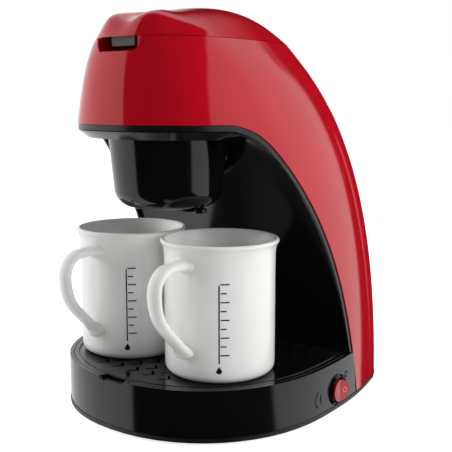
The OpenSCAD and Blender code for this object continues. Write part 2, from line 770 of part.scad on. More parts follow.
module cord_gland() {
    color(black)
        translate([0, body_d / 2, gland_z])
            rotate([-90, 0, 0])
                difference() {
                    union() {
                        translate([0, 0, 0.3]) cylinder(r = gland_r + 3, h = 2);
                        translate([0, 0, -9]) cylinder(r = gland_r, h = 10);
                    }
                    translate([0, 0, -10]) cylinder(r = 3.6, h = 14);
                }
}

// ---- filter basket and deck ------------------------------------------------------------

deck_t = 2;
module at_basket(z = 0) {
    translate([0, -basket_y, z]) children();
}

module brew_deck() {
    color(black)
        difference() {
            dome_plate(deck_z, wall + fit_gap, deck_t);
            at_basket(deck_z - 1) cylinder(r = basket_top_r + 0.4, h = 5);
            translate([0, riser_y(deck_z), deck_z - 1]) cylinder(r = hose_r + 1.2, h = 5);
            hull()
                for (x = [-24, 24], y = [tank_front(deck_z) + 9, tank_rear_top - 8])
                    translate([x, y, deck_z - 1]) cylinder(r = 5, h = 5, $fn = 32);
        }
}

function basket_profile(t) =
    let (r = basket_round, lo = basket_low_r - t, hi = basket_top_r - t, z0 = basket_z + t, rr = r - t)
    concat([[0, z0]], [for (a = [0:15:90]) [lo - rr + rr * sin(a), z0 + rr - rr * cos(a)]],
        [[hi, deck_z]]);
module filter_basket() {
    top = deck_z + deck_t;
    color(black)
        at_basket()
            difference() {
                rotate_extrude()
                    polygon(concat(basket_profile(0), [[basket_top_r, top],
                        [basket_top_r + 3, top], [basket_top_r + 3, top + 1.8], [0, top + 1.8]]));
                rotate_extrude()
                    polygon(concat(basket_profile(basket_wall), [[basket_top_r - basket_wall, top + 3],
                        [0, top + 3]]));
                for (x = [-outlet_x, outlet_x])
                    translate([x, 0, basket_z - 2]) cylinder(r = 2.5, h = 14);
            }
}

// Boat-shaped bridge with the two outlets, fixed below the basket
module outlet_spouts() {
    color(black)
        at_basket(basket_z)
            difference() {
                union() {
                    translate([0, 0, -1.6])
                        linear_extrude(1.6)
                            union() {
                                square([2 * (basket_low_r - basket_round) - 8, 16], center = true);
                                for (x = [-1, 1])
                                    translate([x * (basket_low_r - basket_round - 4), 0]) circle(8);
                            }
                    for (x = [-outlet_x, outlet_x]) translate([x, 0, -2.6]) cylinder(r = 4.2, h = 2.6);
                }
                for (x = [-outlet_x, outlet_x]) translate([x, 0, -4]) cylinder(r = 2.5, h = 8);
                at_basket_solid();
            }
}
module at_basket_solid() {
    translate([0, 0, -basket_z]) rotate_extrude() polygon(concat(basket_profile(-0.02), [[0, deck_z]]));
}

mesh_low = basket_z + 12;
mesh_low_r = 20;
module filter_frame() {
    top = deck_z + deck_t + 1.8;
    r = basket_top_r - basket_wall - 0.4;
    color(grey)
        at_basket()
            rotate_extrude() polygon([[r - 3, top - 6], [r, top - 6], [r, top], [r + 2.5, top],
                [r + 2.5, top + 1.4], [r - 3, top + 1.4]]);
    color(grey)
        at_basket(mesh_low - 2) cylinder(r = mesh_low_r, h = 2);
}

module filter_mesh() {
    top = deck_z + deck_t + 1.8 - 6;
    r = basket_top_r - basket_wall - 0.4;
    color(grey)
        at_basket()
            rotate_extrude() polygon([[mesh_low_r - 0.6, mesh_low], [mesh_low_r, mesh_low],
                [r, top], [r - 0.6, top]]);
}

// ---- water system ----------------------------------------------------------------------

tank_top = deck_z - 2;
tank_rear_top = tank_back(seam_z - 24) - 8;
water_lean = 0.161 * body_d;    // how far the tank's front and the riser lean forward
water_gap = 6.75;               // from the riser's foot to the tank's front
function tank_front(z) = riser_foot_y + water_gap - water_lean * (z - tray_z) / (tank_top - tray_z);
function tank_back(z) = rear_y(z, wall + 2);
module tank_slice(z, w, r, front, back, t, h) {
    for (x = [-1, 1]) {
        translate([x * (w - r), back - r, z]) cylinder(r = r - t, h = h, $fn = 32);
        translate([x * (w + 24 - r - 6), front + 6, z]) cylinder(r = 6 - t, h = h, $fn = 32);
    }
}
module tank_form(t, over) {
    mid = (tray_z + tank_top) / 2;
    hull() {
        tank_slice(tray_z + t, tank_w, 28, tank_front(tray_z), tank_back(tray_z) - 8, t, 0.5);
        tank_slice(mid, tank_w - 5, 27, tank_front(mid), tank_back(mid) - 9, t, 0.5);
        tank_slice(tank_top - 0.5 + over, tank_w - 24, 16, tank_front(tank_top), tank_rear_top, t, 0.5);
    }
}

tank_w = 0.3468 * body_w; // half width of the tank's rounded back
spigot_r = 3.4;
module water_tank() {
    color([0.75, 0.78, 0.8])
        difference() {
            union() {
                tank_form(0, 0);
                translate([inlet_x, inlet_y, tray_z - 3.2]) cylinder(r = spigot_r, h = 4);
            }
            tank_form(tank_wall, 1);
            translate([inlet_x, inlet_y, tray_z - 5]) cylinder(r = 2, h = 10);
        }
}

tube_z = 13.4;
heater_bend = 0.1678 * min(body_w, 0.8 * body_d); // radius of the heater's bend
heater_x = heater_bend;         // middle of the bend, so that the riser leg is at x = 0
elbow_r = 12;
lean = atan(water_lean / (tank_top - tray_z));
riser_foot_y = arch_foot_y + riser_back;
leg_end_y = riser_foot_y + elbow_r * cos(lean);
heater_y = leg_end_y + 12;
riser_foot_z = tube_z + elbow_r * (1 - sin(lean));
function riser_y(z) = riser_foot_y - (z - riser_foot_z) * tan(lean);
inlet_x = 2 * heater_bend;
inlet_bend = 8;
inlet_y = heater_y - inlet_bend;

// Quarter-ish bend in the YZ plane: starts at [y, z] heading to -Y and turns up by angle a
module bend_up(y, z, r, tube, a) {
    translate([0, y, z + r])
        rotate([0, 90, 0])
            rotate([0, 0, -a])
                rotate_extrude(angle = a)
                    translate([r, 0]) circle(tube);
}

module heater_block() {
    color(steel) {
        difference() {
            union() {
                for (k = [[tube_z, tube_r], [tube_z + tube_r + element_r - 1.2, element_r]]) {
                    translate([heater_x, heater_y, k[0]])
                        rotate_extrude(angle = 180) translate([heater_bend, 0]) circle(k[1]);
                    translate([0, leg_end_y, k[0]])
                        rotate([-90, 0, 0]) cylinder(r = k[1], h = heater_y - leg_end_y);
                }
            }
            translate([heater_x, heater_y, tube_z])
                rotate_extrude(angle = 180) translate([heater_bend, 0]) circle(tube_r - 2);
            translate([0, leg_end_y - 1, tube_z])
                rotate([-90, 0, 0]) cylinder(r = tube_r - 2, h = heater_y - leg_end_y + 1);
        }
    }
}

element_top = tube_z + tube_r + 2 * element_r - 1.2;
shelf_under = tray_z - shelf_t - 0.8;
standoff_places = [[0, 58], [heater_x - heater_bend * sin(45), heater_y + heater_bend * cos(45)],
    [heater_x + heater_bend * sin(45), heater_y + heater_bend * cos(45)]];
module heater_standoffs() {
    color(grey)
        for (p = standoff_places)
            translate([p[0], p[1], element_top]) cylinder(r = 3.4, h = shelf_under - element_top);
}

module heater_terminals() {
    z = tube_z + tube_r + element_r - 1.2;
    color(steel) {
        translate([-element_r - 6, leg_end_y + 5, z]) rotate([0, 90, 0]) cylinder(r = 1.6, h = 6);
        translate([inlet_x + element_r, heater_y + 1.7, z]) rotate([0, 90, 0]) cylinder(r = 1.6, h = 6);
    }
}

module thermostat() {
    color(steel)
        translate([heater_x, heater_y + heater_bend, element_top])
            union() {
                cylinder(r = 8, h = shelf_under - element_top - 1);
                cylinder(r = 3, h = shelf_under - element_top);
            }
}

module thermal_fuse() {
    color(grey)
        translate([heater_x - 8, heater_y + heater_bend - tube_r - 4, tube_z])
            rotate([0, 90, 0]) cylinder(r = 2.1, h = 16);
}

riser_top_z = deck_z + deck_t + 1;
module riser_hose() {
    length = (riser_top_z - riser_foot_z) / cos(lean);
    color(grey)
        difference() {
            union() {
                bend_up(leg_end_y, tube_z, elbow_r, hose_r, 90 - lean);
                translate([0, riser_foot_y, riser_foot_z]) rotate([lean, 0, 0]) cylinder(r = hose_r, h = length);
            }
            bend_up(leg_end_y, tube_z, elbow_r, hose_r - 1.6, 90 - lean);
            translate([0, riser_foot_y, riser_foot_z])
                rotate([lean, 0, 0]) cylinder(r = hose_r - 1.6, h = length + 1);
        }
}

// Spout that carries the hot water from the riser over the filter
module spray_spout() {
    z = riser_top_z;
    y = riser_y(z);
    reach = y + basket_y - 22;
    color(black)
        difference() {
            union() {
                translate([0, y, z + 0.1]) rotate([lean, 0, 0]) cylinder(r = hose_r + 1, h = 7);
                translate([-5, y - reach, z + 2.6]) cube([10, reach, 5]);
                translate([0, y - reach, z + 1]) cylinder(r = 5, h = 6.6);
            }
            translate([0, y, z - 1]) rotate([lean, 0, 0]) cylinder(r = 2.6, h = 6);
            translate([-2, y - reach, z + 3.8]) cube([4, reach - 1.5, 2.4]);
            translate([0, y - reach, z]) cylinder(r = 2.6, h = 5);
        }
}

module check_valve() {
    z0 = tube_z + inlet_bend;
    color(grey)
        translate([inlet_x, inlet_y, z0])
            difference() {
                cylinder(r = hose_r + 0.8, h = tray_z - 3.2 - z0);
                translate([0, 0, -1]) cylinder(r = 1.8, h = 20);
            }
}

module inlet_hose() {
    color(grey)
        translate([inlet_x, 0, 0])
            difference() {
                bend_up(heater_y, tube_z, inlet_bend, hose_r, 90);
                bend_up(heater_y, tube_z, inlet_bend, hose_r - 1.6, 90);
            }
}

module hose_clamps() {
    ring = hose_r + 0.9;
    color(steel)
        for (z = [tray_z + 15, deck_z - 20])
            translate([0, riser_y(z), z])
                rotate([lean, 0, 0])
                    difference() {
                        cylinder(r = ring, h = 5);
                        translate([0, 0, -1]) cylinder(r = hose_r + 0.05, h = 7);
                    }
}

// ---- mugs ------------------------------------------------------------------------------

mug_corner = 5;
module mug_body() {
    r = mug_r;
    h = mug_h;
    lip = 3;
    arc = [for (a = [0:15:90]) [r - mug_corner + mug_corner * sin(a), mug_corner * (1 - cos(a))]];
    roll = [for (a = [-60:20:180])
        [mug_rim_r - lip / 2 + lip / 2 * cos(a), h - lip / 2 + lip / 2 * sin(a)]];
    inner_r = r - mug_wall;
    bowl = [for (a = [90:-15:0])
        [inner_r - mug_corner + mug_corner * sin(a), mug_wall + 1 + mug_corner * (1 - cos(a))]];
    rotate_extrude()
        polygon(concat([[0, 1.2], [r - mug_corner - 4, 1.2], [r - mug_corner - 3, 0]], arc,
            [[r, h - 9], [r + 0.5, h - 5]], roll, [[inner_r + 0.4, h - 6], [inner_r, h - 10]],
            bowl, [[0, mug_wall + 1]]));
}

handle_bend = 13;  // radius of the handle's upper bend
handle_sweep = 30; // radius of the wide bend below it, after which the handle slants to the wall
handle_root = 2;   // how deep the handle's ends reach into the wall
// Oval station of the handle at reach r and height z, turned by angle a from a level arm
function handle_oval(r, z, a, t, w) = [for (f = [0:30:330])
    [w * sin(f), -(r + t * cos(f) * sin(a)), z + t * cos(f) * cos(a)]];
module handle() {
    t = handle_t / 2;
    w = handle_w / 2;
    out = handle_reach - t;
    top = mug_h - handle_drop;
    upper = out - handle_bend;            // where the upper arm starts to bend
    middle = top - handle_bend - 1.8;     // where the wide bend starts
    slant_r = out - handle_sweep * (1 - cos(45));
    wall_z = middle - handle_sweep * sin(45) - (slant_r - mug_r);
    tube(concat(
        [for (k = [[-handle_root, 1.5], [0.6, 1.3], [1.8, 0.7], [3.6, 0.2], [6, 0]])
            handle_oval(mug_r + k[0], top, 0, t + k[1], w + k[1])],
        [for (a = [0:15:90]) handle_oval(upper + handle_bend * sin(a),
            top - handle_bend * (1 - cos(a)), a, t, w)],
        [for (a = [0:9:45]) handle_oval(out - handle_sweep * (1 - cos(a)),
            middle - handle_sweep * sin(a), 90 + a, t, w)],
        [for (k = [[7, 135, 0], [4.5, 155, 0.4], [2.5, 168, 1.2], [0.5, 180, 2.2]])
            handle_oval(mug_r + k[0] * cos(45), wall_z + k[0] * sin(45), k[1], t + k[2], w + k[2] / 1.6)],
        [handle_oval(mug_r - handle_root, wall_z - 1, 180, t + 2.4, w + 1.5)]));
}

module mug() {
    color([0.93, 0.93, 0.92])
        union() {
            mug_body();
            handle();
        }
}
module mug_left() translate([-mug_x, -mug_y, tray_z]) mug();
module mug_right() translate([mug_x, -mug_y, tray_z]) mug();

base_housing();
bottom_cover();
rubber_feet();
cover_screws();
column_liner();
arch_trim();
head_base();
body_shell();
back_shell();
lid();
lid_liner();
lid_catch();
lid_knuckle();
hinge_bracket();
hinge_pin();
brew_deck();
filter_basket();
outlet_spouts();
filter_frame();
filter_mesh();
spray_spout();
riser_hose();
water_tank();
check_valve();
inlet_hose();
heater_block();
heater_standoffs();
heater_terminals();
thermostat();
thermal_fuse();
hose_clamps();
drip_pan();
drip_grate();
switch_bezel();
switch_body();
switch_terminals();
rocker();
cord_gland();
mug_left();
mug_right();
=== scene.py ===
# %% [markdown]
# # A two-cup drip coffee maker
# The machine is one smooth red dome on a black base, with an arch cut out of its front for two mugs.
# The solids come from the CAD model, so this lesson is about what a solid lacks: smooth moulded skins,
# glazed mugs, a small lit switch, and finishes that belong to each material. Everything is in metres.

# %% Tools and the CAD frame
import json
import math

import bmesh
import bpy
from mathutils import Matrix, Vector
from mathutils.bvhtree import BVHTree


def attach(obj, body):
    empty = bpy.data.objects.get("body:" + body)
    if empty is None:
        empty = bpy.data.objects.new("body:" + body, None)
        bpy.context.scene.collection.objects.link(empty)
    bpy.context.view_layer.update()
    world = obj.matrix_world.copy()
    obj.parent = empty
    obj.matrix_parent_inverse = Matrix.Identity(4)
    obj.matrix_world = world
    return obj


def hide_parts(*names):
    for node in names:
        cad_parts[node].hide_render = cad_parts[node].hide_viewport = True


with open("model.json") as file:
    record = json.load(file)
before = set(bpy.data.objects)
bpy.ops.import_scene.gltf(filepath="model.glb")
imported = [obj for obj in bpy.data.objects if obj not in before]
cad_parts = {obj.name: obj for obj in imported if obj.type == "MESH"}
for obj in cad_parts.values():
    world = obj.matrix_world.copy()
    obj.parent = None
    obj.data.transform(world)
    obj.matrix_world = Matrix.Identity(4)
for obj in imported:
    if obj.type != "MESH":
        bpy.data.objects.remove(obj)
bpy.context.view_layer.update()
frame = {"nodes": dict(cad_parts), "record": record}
cad = frame["nodes"]
body_of_node = {
    node: body
    for body, members in frame["record"]["behaviour"]["bodies"].items()
    for node in members
}
slot_of_node = {s["node"]: s["material_slot"] for s in frame["record"]["subparts"]}
MM = 0.001

# %% [markdown]
# ## Camera
# A long lens from the front right, a little above the lid, gives a product view with little distortion.

# %% Camera
CAMERA_PLACE = Vector((340.45, -431.9, 195.75)) * MM
CAMERA_AIM = Vector((6.0, -8.4, 112.6)) * MM
SENSOR_WIDE, LENS = 36.0, 65.07  # millimetres
NEAR_CLIP = 0.01  # metres
camera_data = bpy.data.cameras.new("product_camera")
camera_data.sensor_fit = "HORIZONTAL"
camera_data.sensor_width = SENSOR_WIDE
camera_data.lens = LENS
camera_data.clip_start = NEAR_CLIP
camera = bpy.data.objects.new("product_camera", camera_data)
camera.location = CAMERA_PLACE
camera.rotation_euler = (CAMERA_AIM - CAMERA_PLACE).to_track_quat("-Z", "Y").to_euler()
bpy.context.collection.objects.link(camera)
bpy.context.scene.camera = camera
bpy.context.scene.view_settings.view_transform = "Standard"
print("camera at", [round(v, 3) for v in camera.location], "with a lens of", LENS, "mm")

# %% [markdown]
# ## Finishes
# Every finish starts from the real material: the moulded shells are gloss ABS, the mugs are glazed white
# ware. A finish is one Principled shader with plain values, and nodes only add what varies over the
# surface, such as the faint waviness that a mould leaves. Colours are written as the eye knows them, in
# sRGB, and Blender's sockets want them linear, so one function turns them.

# %% Colour and node helpers
def linear(hex_code):
    """An sRGB hex colour as linear RGBA."""
    parts = [int(hex_code[i : i + 2], 16) / 255 for i in (1, 3, 5)]
    return [c / 12.92 if c <= 0.04045 else ((c + 0.055) / 1.055) ** 2.4 for c in parts] + [1.0]


def add(tree, kind, settings=None, links=None):
    """A node of a kind, with its settings and its incoming links."""
    made = tree.nodes.new(kind)
    for name, value in (settings or {}).items():
        if name in made.inputs:
            made.inputs[name].default_value = value
        else:
            setattr(made, name, value)
    for name, source in (links or {}).items():
        tree.links.new(source, made.inputs[name])
    return made


def finish(name, hex_code, roughness, values=None):
    """A material with plain values on its Principled shader."""
    made = bpy.data.materials.new(name)
    made.use_nodes = True
    shader = made.node_tree.nodes["Principled BSDF"]
    shader.inputs["Base Color"].default_value = linear(hex_code)
    shader.inputs["Roughness"].default_value = roughness
    for socket, value in (values or {}).items():
        shader.inputs[socket].default_value = value
    made.diffuse_color = linear(hex_code)
    return made


NOISE_LOW, NOISE_HIGH = 0.3, 0.7  # most of a noise pattern's values lie between these


def noise(made, size_mm, detail=2.0):
    """Noise on Object coordinates, with features about size_mm across."""
    tree = made.node_tree
    place = add(tree, "ShaderNodeTexCoord")
    return add(tree, "ShaderNodeTexNoise", {"Scale": 1 / (size_mm * MM), "Detail": detail},
               {"Vector": place.outputs["Object"]}).outputs["Fac"]


def relief(made, height, depth_mm):
    """Turns a height pattern into a bump of a real depth."""
    tree = made.node_tree
    bump = add(tree, "ShaderNodeBump", {"Distance": depth_mm * MM}, {"Height": height})
    tree.links.new(bump.outputs["Normal"], tree.nodes["Principled BSDF"].inputs["Normal"])


def vary(made, pattern, socket, low, high):
    """Spreads a pattern over a range of one shader value."""
    tree = made.node_tree
    spread = add(tree, "ShaderNodeMapRange",
                 {"From Min": NOISE_LOW, "From Max": NOISE_HIGH, "To Min": low, "To Max": high},
                 {"Value": pattern})
    tree.links.new(spread.outputs["Result"], tree.nodes["Principled BSDF"].inputs[socket])


def tint(made, pattern, dark_hex, light_hex):
    """Mixes two close colours by a pattern."""
    tree = made.node_tree
    ramp = add(tree, "ShaderNodeValToRGB", None, {"Fac": pattern})
    stops = zip(ramp.color_ramp.elements, (NOISE_LOW, NOISE_HIGH), (dark_hex, light_hex))
    for stop, position, hex_code in stops:
        stop.position = position
        stop.color = linear(hex_code)
    tree.links.new(ramp.outputs["Color"], tree.nodes["Principled BSDF"].inputs["Base Color"])


print("mid grey #808080 is", round(linear("#808080")[0], 3), "in linear light")

# %% [markdown]
# ### Gloss and satin mouldings
# Gloss ABS comes out of a polished mould: a deep even colour under a mirror-like skin that is very
# slightly wavy, because the wall shrinks as it cools. Where nobody looks, the same plastic gets a fine
# spark-eroded grain, which scatters the light and hides marks. The rounded back comes from a mould with a
# softer polish, so it mirrors the room less than the front does.

# %% Moulded plastics
# how far apart the changes of colour, of gloss and of the skin's level are, in millimetres
GLOSS_TINT, GLOSS_SHEEN, GLOSS_WAVE, GLOSS_WAVE_DEEP = 60.0, 25.0, 14.0, 0.010
SATIN_TINT, SATIN_SHEEN = 20.0, 12.0
PLASTIC_IOR, SOFT_POLISH_IOR = 1.5, 1.25


def gloss_plastic(name, dark_hex, light_hex, roughness, ior=PLASTIC_IOR):
    """A mirror-like skin with a very slight wave."""
    made = finish(name, light_hex, roughness, {"IOR": ior})
    tint(made, noise(made, GLOSS_TINT), dark_hex, light_hex)
    vary(made, noise(made, GLOSS_SHEEN, 4.0), "Roughness", roughness * 0.8, roughness * 1.25)
    relief(made, noise(made, GLOSS_WAVE, 1.0), GLOSS_WAVE_DEEP)
    return made


def satin_plastic(name, dark_hex, light_hex, roughness, grain_mm=0.9, depth_mm=0.05):
    """A skin whose fine grain scatters the light."""
    made = finish(name, light_hex, roughness, {"IOR": PLASTIC_IOR})
    tint(made, noise(made, SATIN_TINT), dark_hex, light_hex)
    vary(made, noise(made, SATIN_SHEEN, 4.0), "Roughness", roughness * 0.9, roughness * 1.1)
    # the real grain is about 0.1 mm; it is drawn coarser so that it shows at all
    relief(made, noise(made, grain_mm, 3.0), depth_mm)
    return made


red_abs = gloss_plastic("gloss_red_abs", "#b00a1b", "#ba0c1f", 0.06)
red_back_abs = gloss_plastic("soft_gloss_red_abs", "#ae0819", "#b80a1d", 0.1, SOFT_POLISH_IOR)
black_abs = gloss_plastic("gloss_black_abs", "#08080a", "#0c0c0e", 0.10)
black_satin = satin_plastic("satin_black_abs", "#141415", "#19191b", 0.46)
trim_satin = satin_plastic("satin_graphite_abs", "#101011", "#151517", 0.26, 0.7, 0.02)
grey_satin = satin_plastic("satin_grey_pp", "#8e9092", "#989a9c", 0.42)
frosted_pp = satin_plastic("frosted_natural_pp", "#c6ccd0", "#d2d7da", 0.4)
white_sleeve = satin_plastic("white_fibre_sleeve", "#d6d3c8", "#e2dfd6", 0.8, 0.8, 0.15)
catch_satin = satin_plastic("satin_grey_nylon", "#4a4441", "#55504c", 0.4)
print("gloss:", red_abs.name, red_back_abs.name, black_abs.name)
print("satin:", black_satin.name, trim_satin.name, grey_satin.name, frosted_pp.name, catch_satin.name)

# %% [markdown]
# ### Rubber, silicone, metals and cloth
# Rubber and silicone are matte and a little uneven. The metals are plain: zinc-plated screws, a ground
# steel pin and a cast heater with the sandy skin that casting leaves. The filter cloth is a nylon weave,
# drawn as a chequer of its threads, because only its even grain shows.

# %% Rubber, metals and cloth
black_rubber = satin_plastic("moulded_black_rubber", "#151515", "#1d1d1d", 0.78, 1.2, 0.08)
silicone = satin_plastic("extruded_silicone", "#b9bab6", "#c6c7c3", 0.5, 2.5, 0.05)

plated_steel = finish("zinc_plated_steel", "#b8babd", 0.28, {"Metallic": 1.0})
vary(plated_steel, noise(plated_steel, 1.5, 4.0), "Roughness", 0.22, 0.36)

cast_aluminium = finish("cast_aluminium", "#a9abad", 0.48, {"Metallic": 1.0})
vary(cast_aluminium, noise(cast_aluminium, 6.0, 4.0), "Roughness", 0.4, 0.58)
relief(cast_aluminium, noise(cast_aluminium, 0.9, 4.0), 0.12)

THREADS_APART = 0.5  # millimetres
filter_cloth = finish("woven_nylon_cloth", "#a08c5a", 0.7, {"Sheen Weight": 0.2})
cloth_place = add(filter_cloth.node_tree, "ShaderNodeTexCoord")
cloth_weave = add(filter_cloth.node_tree, "ShaderNodeTexChecker",
                  {"Scale": 1 / (THREADS_APART * MM), "Color1": linear("#b59f68"),
                   "Color2": linear("#8b784a")},
                  {"Vector": cloth_place.outputs["Object"]})
filter_cloth.node_tree.links.new(
    cloth_weave.outputs["Color"],
    filter_cloth.node_tree.nodes["Principled BSDF"].inputs["Base Color"])
relief(filter_cloth, cloth_weave.outputs["Fac"], 0.08)
print("metals:", plated_steel.name, cast_aluminium.name, "- cloth threads", THREADS_APART, "mm apart")

# %% [markdown]
# ### Glazed mugs, the lit rocker and the prints
# The mugs are slip-cast white ware under a clear glaze: a soft white body with a hard wet-looking skin
# that pools slightly. The rocker is clear red plastic with a lamp behind it, so it keeps a little light
# of its own. The mugs' print is fired and glossy. The marks in the black wall are moulded, and matte so
# that they stand off from its gloss. The marks on the rocker are pad-printed in a pale pink.

# %% Glaze, lens and print
glaze = finish("clear_glazed_white_ware", "#ececea", 0.09, {"IOR": 1.5})
tint(glaze, noise(glaze, 30.0), "#e8e8e6", "#efefed")
vary(glaze, noise(glaze, 10.0, 3.0), "Roughness", 0.06, 0.13)
relief(glaze, noise(glaze, 9.0, 2.0), 0.02)

red_lens = finish("clear_red_polycarbonate", "#a00e14", 0.14,
                  {"IOR": 1.58, "Emission Color": linear("#c01016"), "Emission Strength": 0.03})
tint(red_lens, noise(red_lens, 8.0), "#960d13", "#a81016")
relief(red_lens, noise(red_lens, 3.0), 0.02)

mug_ink = finish("fired_black_print", "#161617", 0.3)
vary(mug_ink, noise(mug_ink, 1.5), "Roughness", 0.24, 0.36)
dull_mark = finish("matte_moulded_black", "#060607", 0.75, {"IOR": 1.3})
vary(dull_mark, noise(dull_mark, 0.8), "Roughness", 0.68, 0.82)
mark_ink = finish("pad_printed_pink", "#e8787c", 0.4)
vary(mark_ink, noise(mark_ink, 0.8), "Roughness", 0.34, 0.46)

SLOT_FINISH = {
    "red_gloss": red_abs, "rocker_red": red_lens, "black_gloss": black_abs,
    "black_matte": black_satin, "trim_grey": trim_satin, "light_grey": grey_satin,
    "mesh": filter_cloth, "silicone": silicone, "tank_clear": frosted_pp,
    "cast_aluminium": cast_aluminium, "steel": plated_steel, "fuse_white": white_sleeve,
    "rubber_black": black_rubber, "mug_white": glaze,
}
for node, solid in cad.items():
    solid.data.materials.clear()
    solid.data.materials.append(SLOT_FINISH[slot_of_node[node]])
print(len(SLOT_FINISH), "finishes on", len(cad), "solids")

# %% [markdown]
# ## Making and dressing a piece
# A piece is built as a bmesh, whose edges are marked sharp where the surface turns, and becomes an object
# whose place is in its mesh. Dressing it puts it on the body that carries it and hides the solid it
# stands for, if it stands for one.

# %% Making and dressing pieces
def piece_from(bm, name, finish_used, sharp_deg=35):
    """Closes a bmesh into an object with smooth faces, and hard edges where the surface turns."""
    for face in bm.faces:
        face.smooth = True
    for edge in bm.edges:
        edge.smooth = edge.is_manifold and edge.calc_face_angle(0.0) < math.radians(sharp_deg)
    mesh = bpy.data.meshes.new(name)
    bm.to_mesh(mesh)
    bm.free()
    mesh.materials.append(finish_used)
    piece = bpy.data.objects.new(name, mesh)
    bpy.context.scene.collection.objects.link(piece)
    return piece


def dress(piece, body, slot, *replaced):
    """Puts a piece on its body, in place of the solids it stands for; the slot is not used."""
    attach(piece, body)
    if replaced:
        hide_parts(*replaced)
    return piece


def upright_ring(bm, verts):
    """Turns flat points to stand across the Y axis."""
    bmesh.ops.rotate(bm, cent=(0, 0, 0), matrix=Matrix.Rotation(math.radians(90), 3, "X"), verts=verts)


def thicken(bm, thickness_mm):
    """Gives an open sheet its wall, inwards from its normals, with every face pointing outwards."""
    bmesh.ops.solidify(bm, geom=bm.faces[:], thickness=thickness_mm * MM)
    bmesh.ops.recalc_face_normals(bm, faces=bm.faces)


def face_along_x(bm, side):
    """Turns a sheet's normals towards one side of the machine, so that thicken() knows which way in is."""
    bmesh.ops.recalc_face_normals(bm, faces=bm.faces)
    if sum(f.normal.x * side for f in bm.faces) < 0:
        bmesh.ops.reverse_faces(bm, faces=bm.faces)


# %% [markdown]
# ## From solid to skin
# The shells are lofted solids, whose facets would show in a polished skin. Each visible one is copied,
# its loose triangles are merged and paired into quads, sharp edges are creased, and a subdivision surface
# rounds what lies between them. The solid itself stays untouched under the new skin.

# %% Skins over solids
MERGE_WITHIN = 0.002  # millimetres between corners that are one
QUAD_FLAT, QUAD_SQUARE = 14, 55  # degrees that two triangles may differ and still make one quad
ROUNDED_FROM = 50  # degrees at which an edge gets its small radius


def skin(node, name, levels=1, sharp_deg=28, bevel_mm=0.0):
    """A smooth copy of a solid that stands for it."""
    bm = bmesh.new()
    bm.from_mesh(cad[node].data)
    bmesh.ops.remove_doubles(bm, verts=bm.verts, dist=MERGE_WITHIN * MM)
    bmesh.ops.dissolve_degenerate(bm, edges=bm.edges, dist=MERGE_WITHIN * MM)
    if levels:
        bmesh.ops.join_triangles(bm, faces=bm.faces, angle_face_threshold=math.radians(QUAD_FLAT),
                                 angle_shape_threshold=math.radians(QUAD_SQUARE))
        crease = bm.edges.layers.float.new("crease_edge")
        for edge in bm.edges:
            if not edge.is_manifold or edge.calc_face_angle(0.0) > math.radians(sharp_deg):
                edge[crease] = 1.0
    piece = piece_from(bm, name, SLOT_FINISH[slot_of_node[node]], sharp_deg)
    if bevel_mm:
        soften = piece.modifiers.new("soft_edges", "BEVEL")
        soften.width = bevel_mm * MM
        soften.segments = 2
        soften.limit_method = "ANGLE"
        soften.angle_limit = math.radians(ROUNDED_FROM)
    if levels:
        smooth = piece.modifiers.new("moulded_skin", "SUBSURF")
        smooth.levels = smooth.render_levels = levels
    return dress(piece, body_of_node[node], slot_of_node[node], node)


print("corners closer than", MERGE_WITHIN, "mm are merged")

# %% [markdown]
# ## The shells
# The front and side shell, the rounded back and the lid are three mouldings that continue one form. Only
# the thin step between side and back, and the level seam of the lid, show where they meet.

# %% Red and black skins
SKINS = {
    "body_shell": "front_and_side_skin", "back_shell": "rounded_back_skin", "lid": "lid_skin",
    "column_liner": "bay_lining_skin", "arch_trim": "arch_trim_skin",
}
for node, name in SKINS.items():
    made = skin(node, name)
    if node == "back_shell":
        made.data.materials[0] = red_back_abs
    print(made.name, len(made.data.polygons), "faces")

# %% [markdown]
# ### Pieces with flat faces
# A flat face needs no subdivision. Moulded edges are never quite sharp, though: those that catch the light
# get a bevel of a few tenths of a millimetre.

# %% Flat skins
FLAT_SKINS = {  # solid: name, edge radius in millimetres
    "head_base": ("head_underside", 0.0), "base_housing": ("base_wall", 0.3),
    "bottom_cover": ("base_foot_edge", 0.0), "drip_grate": ("chevron_grate", 0.3),
    "outlet_spouts": ("outlet_boat", 0.4), "switch_bezel": ("switch_ring", 0.3),
    "lid_knuckle": ("hinge_knuckle", 0.0), "hinge_bracket": ("hinge_ears", 0.3),
}
for node, (name, edge_mm) in FLAT_SKINS.items():
    skin(node, name, levels=0, sharp_deg=32, bevel_mm=edge_mm)
print(len(FLAT_SKINS), "flat skins")

# %% [markdown]
# ### The lid's lip
# The lid ends in a blunt lip that a thumb pulls up, so its front rises almost straight from the seam and
# then turns over, with a shallow scoop pressed into the middle. Moving the points of the lid's skin by a
# smooth falloff keeps the rest of the dome as it is.

# %% Lip and thumb scoop
# millimetres: how far the lip rises, its half width, the part of that which is level, and where it starts
LIP_LIFT, LIP_HALF, LIP_LEVEL_SHARE, LIP_FROM, LIP_TO = 4.4, 36.0, 0.35, 66.0, 91.0
SCOOP_DIP, SCOOP_WIDE, SCOOP_LONG, SCOOP_FLOOR_SHARE, SCOOP_Y = 3.4, 18.0, 15.0, 0.2, -84.0
SEAM_Z, LIP_TALL = 231.4, 8.0
RIM_CLOSER, RIM_TOP, RIM_LOW = 0.22, 1.0, 0.3  # the rim sits closer to the shell, for a finer seam


def ease(value, start, end):
    """0 at the start, 1 at the end and smooth between them."""
    share = min(1.0, max(0.0, (value - start) / (end - start)))
    return share * share * (3 - 2 * share)


def make_dense(piece, levels):
    """Turns a piece's subdivision into real points, so that they can be moved."""
    piece.modifiers["moulded_skin"].levels = levels
    graph = bpy.context.evaluated_depsgraph_get()
    piece.data = bpy.data.meshes.new_from_object(piece.evaluated_get(graph))
    piece.modifiers.clear()


